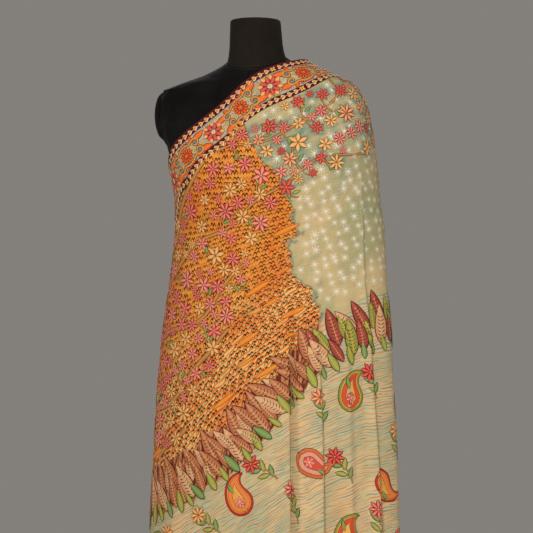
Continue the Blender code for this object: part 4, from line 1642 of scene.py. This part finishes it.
def stem_leaves(work, stems, clear):
    """Curved side stems, and two pointed leaves on each long one."""
    leaf = blade(0.0170, 0.0062, belly=0.45, rim=0.0007)
    bent = np.stack([np.linspace(0, 1, 7), 0.16 * np.sin(np.linspace(0, np.pi, 7))], -1)
    stem = outlined(bent, np.linspace(0.042, 0.024, 7), 0.018)
    for place, down, angle, length, far in stems:
        work.stamp(stem, place, down, angle, STEM, size=length, flip=far, raised=-0.00002)
        for share, lean, palette in ((0.40, 0.85, GREEN), (0.62, -0.85, OLIVE)):
            spot = draped_sheet().reached(place, down, angle, share * length)
            near = inside(*spot, clear) & (length > 0.033)
            work.stamp(leaf, *pick(near, *spot, angle + lean), palette, raised=0.0001)


def slim_flames(work, clear):
    """Slim flames along the grain on the warm ground below the vines."""
    flame = blade(0.054, 0.0085, belly=0.5, rim=0.0006, rows=8, sharp=0.7)
    for row, depth in enumerate(np.arange(0.30, 0.62, 0.042)):
        place, down, turn = stations(*row_path(depth), 0.105, 0.03 + 0.047 * (row % 3))
        kept = (down > field_edge("bloom", place) + 0.02) & (down < field_edge("low", place) - 0.02)
        kept &= (warm_margin(place, down) > 0.030) & inside(place, down, clear)
        work.stamp(flame, *pick(kept, place, down, turn), EMBER, size=0.8 + 0.3 * (row % 2))


def vines(pattern):
    """Swinging vines along the grain, stouter under the arm, with side stems, leaves and slim flames."""
    vine_lines, stems, _ = garden_plan()
    work = Stitchwork()
    for index, path in enumerate(vine_lines):
        place, down, turn = stations(*path, 0.006)
        allowed = inside(place, down, pattern.border_width + 0.001)
        allowed &= down < field_edge("bloom", place) + 0.01
        stout = np.clip((5.0 - place) / 70.0, 0.0, 1.0) * np.clip((place + 150.0) / 60.0, 0.0, 1.0)
        half = 0.0021 + 0.0032 * stout + 0.0005 * np.sin(np.arange(len(place)) * 0.11 + index)
        work.trail(place, down, turn, half, STEM, allowed)
    stem_leaves(work, stems, pattern.border_width + 0.014)
    slim_flames(work, pattern.border_width + 0.03)
    return work.build("shawl_vines", thread_look("vine_thread", 0.15, 0.6))


class SHAWL_OT_blossoms(bpy.types.Operator):
    """Make the open blossoms of the upper field"""

    bl_idname = "shawl.blossoms"
    bl_label = "Blossoms"

    def execute(self, context):
        blossoms(context.scene.shawl_pattern)
        return {"FINISHED"}


LARGE_FROM = 0.82
COOL_OUTLINE = tone(34, 52, 40)


def blossoms(pattern):
    """Blossoms of three kinds, as large ones and small ones, with dark green outlines on the cool ground."""
    reach = pattern.blossom_size / 2
    kinds = (
        blossom(8, reach, 0.0066, 0.58, 0.0016, sharp=1.0),
        blossom(6, reach * 0.98, 0.0086, 0.54, 0.0017, sharp=1.0),
        blossom(7, reach, 0.0074, 0.56, 0.0016, sharp=1.0),
    )
    plan = garden_plan()[2]
    place, down, _, size, palette, kind = plan.T
    cool = warm_margin(place, down) < 0.0
    palettes = BLOSSOM_THREADS[np.where(cool, palette, palette % 3).astype(int)].copy()
    palettes[cool, OUTLINE] = COOL_OUTLINE
    for name, wanted in (("blossoms_large", size > LARGE_FROM), ("blossoms_small", size <= LARGE_FROM)):
        work = Stitchwork()
        for number, shape in enumerate(kinds):
            rows = wanted & (kind == number)
            work.stamp(shape, *plan[rows, :3].T, palettes[rows], size=size[rows], raised=0.0004)
        work.build("shawl_" + name, thread_look(name + "_thread", 0.25, 0.5))


class SHAWL_OT_leaf_row(bpy.types.Operator):
    """Make the row of upright leaves between the upper and lower field"""

    bl_idname = "shawl.leaf_row"
    bl_label = "Leaf row"

    def execute(self, context):
        leaf_row(context.scene.shawl_pattern)
        return {"FINISHED"}


# Rows of the leaves: depth below the low edge of the field, and spacing. The last row is a short one.
LEAF_ROWS = ((0.066, 0.0220), (0.100, 0.0250), (0.116, 0.0300))
WARM_LEAVES = np.array([RUST, TAN, RUST, TAN, RUST])
COOL_LEAVES = np.array([MAROON, OLIVE, TAN, MAROON, OLIVE])


def leaf_palettes(row, count, warm):
    """Threads of each leaf of a row: russet or mixed by turns, and olive and green in the short row."""
    if row == 2:
        return np.where((count % 3 == 1)[:, None, None], GREEN, OLIVE)
    turn = (count + 2 * row) % 5
    return np.where(warm[:, None, None], WARM_LEAVES[turn], COOL_LEAVES[turn])


def leaf_row(pattern):
    """Overlapping upright leaves in two rows where the field changes, and olive ones in front of them."""
    work = Stitchwork()
    height = pattern.leaf_height
    tall = blade(height, 0.36 * height, belly=0.42, rim=0.0015, rows=9)
    short = blade(0.62 * height, 0.21 * height, belly=0.42, rim=0.0013, rows=7)
    vein = spoke(0.0076, 0.0016, BODY)
    veins = together(*(
        placed(vein, 58.0 * s, 0.011 + 0.0070 * k, s * (0.0052 - 0.0003 * k), raised=0.0006)
        for k in range(7) for s in (-1, 1)
    ))
    dot = spoke(0.0036, 0.0022)
    dots = together(*(placed(dot, 0.0, 0.015 + 0.0070 * k, raised=0.0008) for k in range(7)))
    ink = np.tile(RUST[OUTLINE], (4, 1))
    for row, (below, spacing) in enumerate(LEAF_ROWS):
        place = row_path(0.5)[0]
        spots = stations(place, field_edge("low", place) + below, spacing, 0.01 + 0.009 * row)
        place, down, turn = pick(inside(*spots[:2], pattern.border_width + 0.012), *spots)
        count = np.arange(len(place))
        turn = turn - np.pi / 2 + 0.22 * np.sin(count * 1.9) + 0.12 * np.sin(count * 0.7)
        size = 0.84 + 0.16 * np.sin(count * 2.4)
        palettes = leaf_palettes(row, count, warm_margin(place, down) > 0)
        clear = np.minimum(*draped_sheet().margins(place, down)[2:]) > pattern.border_width + 0.030
        for layer in range(3):
            now = (count % 3 == layer) & clear
            spots = pick(now, place, down, turn)
            ways = {"size": size[now], "raised": 0.0003 + 0.0006 * row + 0.0002 * layer}
            work.stamp(tall if row < 2 else short, *spots, palettes[now], **ways)
            if row < 2:
                work.stamp(veins, *spots, ink, **ways)
                work.stamp(dots, *spots, DOT, **ways)
    return work.build("shawl_leaf_row", thread_look("leaf_thread", 0.15, 0.6))


class SHAWL_OT_cones(bpy.types.Operator):
    """Make the cone motifs and sprays of the lower field"""

    bl_idname = "shawl.cones"
    bl_label = "Cones"

    def execute(self, context):
        cones(context.scene.shawl_pattern)
        return {"FINISHED"}


CONE_RADIUS = 0.0270
CONE_GAPS = (0.098, 0.070)      # least distance from what is placed, for a cone and for a spray
TWIG_LENGTH = 0.060
SPRAY_SEED = 11


def cone_spots(depth, row, taken, pattern):
    """Half-drop spots of one row with room: the place, depth, turn, count and point of each."""
    sheet = draped_sheet()
    place = row_path(0.5)[0]
    run = sheet.run(place, field_edge("low", place) + depth)
    half_step = pattern.cone_spacing / 2
    count = np.arange(math.ceil(run[0] / half_step), math.floor(run[-1] / half_step))
    place = np.interp(count * half_step + 0.03, run, place)
    down = np.minimum(field_edge("low", place) + depth, FULL_DOWN - 0.01)
    points = sheet.spot(place, down)
    gap = np.linalg.norm(points[:, None] - taken, axis=2).min(axis=1)
    _, to_hem, from_start, to_end = sheet.margins(place, down)
    kept = inside(place, down, pattern.border_width + 0.010) & (to_hem > pattern.border_width + 0.042)
    kept &= np.minimum(from_start, to_end) > pattern.border_width + 0.040
    kept &= gap > np.where((count + row) % 2 == 0, *CONE_GAPS)
    return pick(kept, place, down, headings(place, down), count, points)


def sprays(work, rng, place, down, turn):
    """At each spot a bent twig with four leaves and an open flower at its tip."""
    sheet = draped_sheet()
    leaf = blade(0.0240, 0.0090, belly=0.45)
    bend = np.stack([np.linspace(0, TWIG_LENGTH, 9), 0.005 * np.sin(np.linspace(0, 3.6, 9))], -1)
    angle = turn - np.pi / 2 + rng.uniform(-0.3, 0.3, len(place))
    work.stamp(outlined(bend, np.full(9, 0.0011), 0.0006), place, down, angle, STEM)
    for share, lean, paint in (
        (0.18, 0.8, GREEN),
        (0.30, -0.8, OLIVE),
        (0.50, 0.75, OLIVE),
        (0.62, -0.75, GREEN),
    ):
        spot = sheet.reached(place, down, angle, share * TWIG_LENGTH)
        work.stamp(leaf, *spot, angle + lean, paint, raised=0.0001)
    tip = sheet.reached(place, down, angle, TWIG_LENGTH)
    flower = blossom(8, 0.0180, 0.0068, 0.58, 0.0016, rows=4, sharp=1.0)
    work.stamp(flower, *tip, angle, BLOSSOM_THREADS[rng.integers(0, 8, len(place))], raised=0.0004)


def cones(pattern):
    """Cone motifs in half-drop rows, each with a flower and dots inside, and leafy sprays between."""
    work = Stitchwork()
    cone = comma(pattern.cone_height, CONE_RADIUS)
    flower = placed(blossom(6, 0.0105, 0.0068, 0.6, 0.0024, rows=4), 0.0, 0.0, -CONE_RADIUS, raised=0.0006)
    dots = together(*(
        placed(disc(0.0015, 6), x=0.0206 * math.cos(a), y=0.0206 * math.sin(a) - CONE_RADIUS)
        for a in np.linspace(0.2, math.pi - 0.2, 9)
    ))
    tip_leaf = placed(blade(0.024, 0.0076, belly=0.45), -84.0, 0.0010, -0.0460, raised=0.0005)
    rng = np.random.default_rng(SPRAY_SEED)
    taken = np.full((1, 3), 9.0)
    for row, depth in enumerate(np.arange(0.206, 0.62, 0.136)):
        place, down, turn, count, points = cone_spots(depth, row, taken, pattern)
        taken = np.vstack([taken, points])
        main = (count + row) % 2 == 0
        flip = np.where((count // 2 + row) % 2 == 0, 1.0, -1.0)
        spots = pick(main, place, down, turn + 0.14 * flip)
        palettes = CONE_THREADS[(count // 2 + 2 * row) % 4][main]
        for shape, paint in ((cone, palettes), (flower, ROSE), (dots, CREAM), (tip_leaf, GREEN)):
            work.stamp(shape, *spots, paint, flip=flip[main], size=0.97, raised=0.0002)
        sprays(work, rng, *pick(~main, place, down, turn))
    return work.build("shawl_cones", thread_look("cone_thread", 0.2, 0.55))


class SHAWL_OT_stars(bpy.types.Operator):
    """Make the small white stars between the blossoms on the cool ground"""

    bl_idname = "shawl.stars"
    bl_label = "Stars"

    def execute(self, context):
        stars(context.scene.shawl_pattern)
        return {"FINISHED"}


STAR_SEED = 3


def stars(pattern):
    """White stars of crossed stitches on a jittered lattice, kept off the blossoms and the warm ground."""
    sheet = draped_sheet()
    rng = np.random.default_rng(STAR_SEED)
    work = Stitchwork()
    star = together(*(placed(spoke(0.0180 if k % 2 else 0.0158, 0.0015), 45.0 * k + 10.0) for k in range(4)))
    step = pattern.star_spacing
    spots = []
    for row, depth in enumerate(np.arange(pattern.border_width + 0.010, 0.60, step * 0.88)):
        place, down, turn = stations(*row_path(depth), step, 0.5 * step * (row % 2))
        spot = sheet.moved(place, down, *rng.uniform(-0.005, 0.005, (2, len(place))))
        spots.append([*spot, turn + rng.uniform(0, 0.8, len(place))])
    place, down, turn = np.hstack(spots)
    kept = inside(place, down, pattern.border_width + 0.008) & (down < field_edge("low", place) - 0.022)
    place, down, turn = pick(kept & (warm_margin(place, down) < -0.010), place, down, turn)
    centres, reach = blossom_rounds(garden_plan()[2])
    gap = np.linalg.norm(sheet.spot(place, down)[:, None] - centres, axis=2) - reach
    clear = gap.min(axis=1) > 0.0005
    size = rng.uniform(0.80, 1.10, clear.sum())
    work.stamp(star, *pick(clear, place, down, turn), WHITE, size=size)
    return work.build("shawl_stars", thread_look("star_thread", 0.2))


class SHAWL_OT_form(bpy.types.Operator):
    """Cover the dress form and finish the stand"""

    bl_idname = "shawl.form"
    bl_label = "Form and stand"

    def execute(self, context):
        finish_form(context.scene.shawl_form)
        return {"FINISHED"}


# Sewn seams of the cover: a, b, c and d of the plane ax + by + cz = d that each lies in.
BODY_SEAMS = ((1.0, 0.0, 0.0, 0.0), (1.0, 0.0, -0.14, -0.262), (1.0, 0.0, 0.14, 0.262))
NECK_SEAMS = ((0.0, -0.38, 1.0, 1.5335),)


def finish_form(colours):
    """Jersey with its sewn seams on the form, and satin black metal on the stand."""
    looks = {
        "form_torso": jersey_look("form_jersey", colours.cover, BODY_SEAMS),
        "form_neck": jersey_look("neck_jersey", colours.neck, NECK_SEAMS),
        "form_cap_right": jersey_look("right_cap_jersey", colours.cover, ()),
        "form_cap_left": jersey_look("left_cap_jersey", colours.cover, ()),
        "form_bottom": painted_metal_look("bottom_plate_paint", colours.metal, 0.55, 0.0),
        "stand_collar": painted_metal_look("collar_metal", colours.metal, 0.34, 0.9),
        "stand_pole": painted_metal_look("pole_metal", colours.metal, 0.28, 0.9),
        "stand_base": painted_metal_look("base_paint", colours.metal, 0.40, 0.3),
    }
    for name, look in looks.items():
        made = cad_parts[name]
        made.data.materials.clear()
        made.data.materials.append(look)


class SHAWL_OT_stage(bpy.types.Operator):
    """Make the floor, the lights and the camera"""

    bl_idname = "shawl.stage"
    bl_label = "Stage"

    def execute(self, context):
        make_stage(context.scene.shawl_stage)
        return {"FINISHED"}


def area_light(name, place, aim, size, power, colour=(1.0, 1.0, 1.0)):
    lamp = bpy.data.lights.new(name, "AREA")
    lamp.shape = "RECTANGLE"
    lamp.size, lamp.size_y = size
    lamp.energy = power
    lamp.color = colour
    made = bpy.data.objects.new(name, lamp)
    made.location = place
    way = np.array(aim) - np.array(place)
    level = math.hypot(way[0], way[1])
    made.rotation_euler = (math.pi / 2 + math.atan2(way[2], level), 0.0, math.atan2(-way[0], way[1]))
    bpy.context.scene.collection.objects.link(made)


FLOOR_SIDES = 96
FLOOR_DROP = 0.0005
SENSOR = 36.0
PICTURE_WIDTH = 1.066           # metres across the picture at the object
SIDE_SHIFT = 0.020


def make_floor(stage):
    """Round floor in a pale, slightly uneven paint."""
    angle = np.linspace(0, 2 * np.pi, FLOOR_SIDES, endpoint=False)
    rim = stage.floor_radius * np.stack([np.cos(angle), np.sin(angle), 0 * angle], -1) - (0, 0, FLOOR_DROP)
    floor = new_mesh("stage_floor", rim, np.arange(FLOOR_SIDES)[None])
    net, shader, look = new_look("stage_floor_paint")
    pale = stage.floor_colour
    colour = net.mix(net.noise(net.object_place(), 3.0, 3.0), pale, tuple(c * 0.93 for c in pale))
    net.feed(shader.inputs["Base Color"], colour)
    shader.inputs["Roughness"].default_value = 0.85
    floor.data.materials.append(look)


def make_camera(stage):
    """Long lens, level, turned round the object and a little to its side."""
    lens = bpy.data.cameras.new("camera")
    lens.sensor_width = SENSOR
    lens.lens = SENSOR * stage.camera_distance / PICTURE_WIDTH
    camera = bpy.data.objects.new("camera", lens)
    turn = stage.camera_turn
    camera.location = (
        SIDE_SHIFT * math.cos(turn) + stage.camera_distance * math.sin(turn),
        SIDE_SHIFT * math.sin(turn) - stage.camera_distance * math.cos(turn),
        stage.camera_height,
    )
    camera.rotation_euler = (math.pi / 2, 0.0, turn)
    bpy.context.scene.collection.objects.link(camera)
    bpy.context.scene.camera = camera


def make_stage(stage):
    """Round floor, soft lights and a long-lens camera."""
    make_floor(stage)
    warm, soft = (1.0, 0.955, 0.89), (1.0, 0.98, 0.96)
    area_light("key_light", (0.60, -3.45, 2.3), (0.02, 0.0, 1.10), (0.8, 0.8), stage.key_power, warm)
    area_light("fill_light", (3.0, -1.6, 1.7), (0.0, 0.0, 1.0), (1.4, 2.0), stage.fill_power, soft)
    area_light("back_light", (-0.9, 3.0, 2.5), (0.0, 0.0, 1.1), (1.8, 1.6), stage.fill_power * 7.0)
    world = bpy.data.worlds.new("studio_air")
    world.use_nodes = True
    air = world.node_tree.nodes["Background"]
    air.inputs["Color"].default_value = (*tone(214, 209, 202), 1.0)
    air.inputs["Strength"].default_value = 0.34
    bpy.context.scene.world = world
    make_camera(stage)
    bpy.context.scene.view_settings.view_transform = "Standard"


class SHAWL_PT_panel(bpy.types.Panel):
    """Lists the steps that build the shawl"""

    bl_idname = "SHAWL_PT_panel"
    bl_label = "Shawl"
    bl_space_type = "VIEW_3D"
    bl_region_type = "UI"
    bl_category = "Shawl"

    def draw(self, context):
        for settings in ("shawl_cloth", "shawl_pattern", "shawl_dyes", "shawl_form", "shawl_stage"):
            box = self.layout.box()
            group = getattr(context.scene, settings)
            for name in group.bl_rna.properties.keys():
                if name not in ("rna_type", "name"):
                    box.prop(group, name)
        for step in STEPS:
            self.layout.operator(step.bl_idname)


SETTINGS = {
    "shawl_cloth": ShawlClothSettings,
    "shawl_pattern": ShawlPatternSettings,
    "shawl_dyes": ShawlDyeSettings,
    "shawl_form": ShawlFormSettings,
    "shawl_stage": ShawlStageSettings,
}
STEPS = (
    SHAWL_OT_cloth,
    SHAWL_OT_rolled_edge,
    SHAWL_OT_guard_chains,
    SHAWL_OT_border_flowers,
    SHAWL_OT_vines,
    SHAWL_OT_blossoms,
    SHAWL_OT_leaf_row,
    SHAWL_OT_cones,
    SHAWL_OT_stars,
    SHAWL_OT_form,
    SHAWL_OT_stage,
)


def register():
    for kind in (*SETTINGS.values(), *STEPS, SHAWL_PT_panel):
        bpy.utils.register_class(kind)
    for name, kind in SETTINGS.items():
        setattr(bpy.types.Scene, name, bpy.props.PointerProperty(type=kind))


def unregister():
    for name in SETTINGS:
        delattr(bpy.types.Scene, name)
    for kind in reversed((*SETTINGS.values(), *STEPS, SHAWL_PT_panel)):
        bpy.utils.unregister_class(kind)


def main():
    """Registers the classes and makes every piece in order."""
    register()
    make_groups()
    for step in STEPS:
        getattr(bpy.ops.shawl, step.bl_idname.split(".")[1])()
    bpy.context.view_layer.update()


if __name__ == "__main__":
    main()
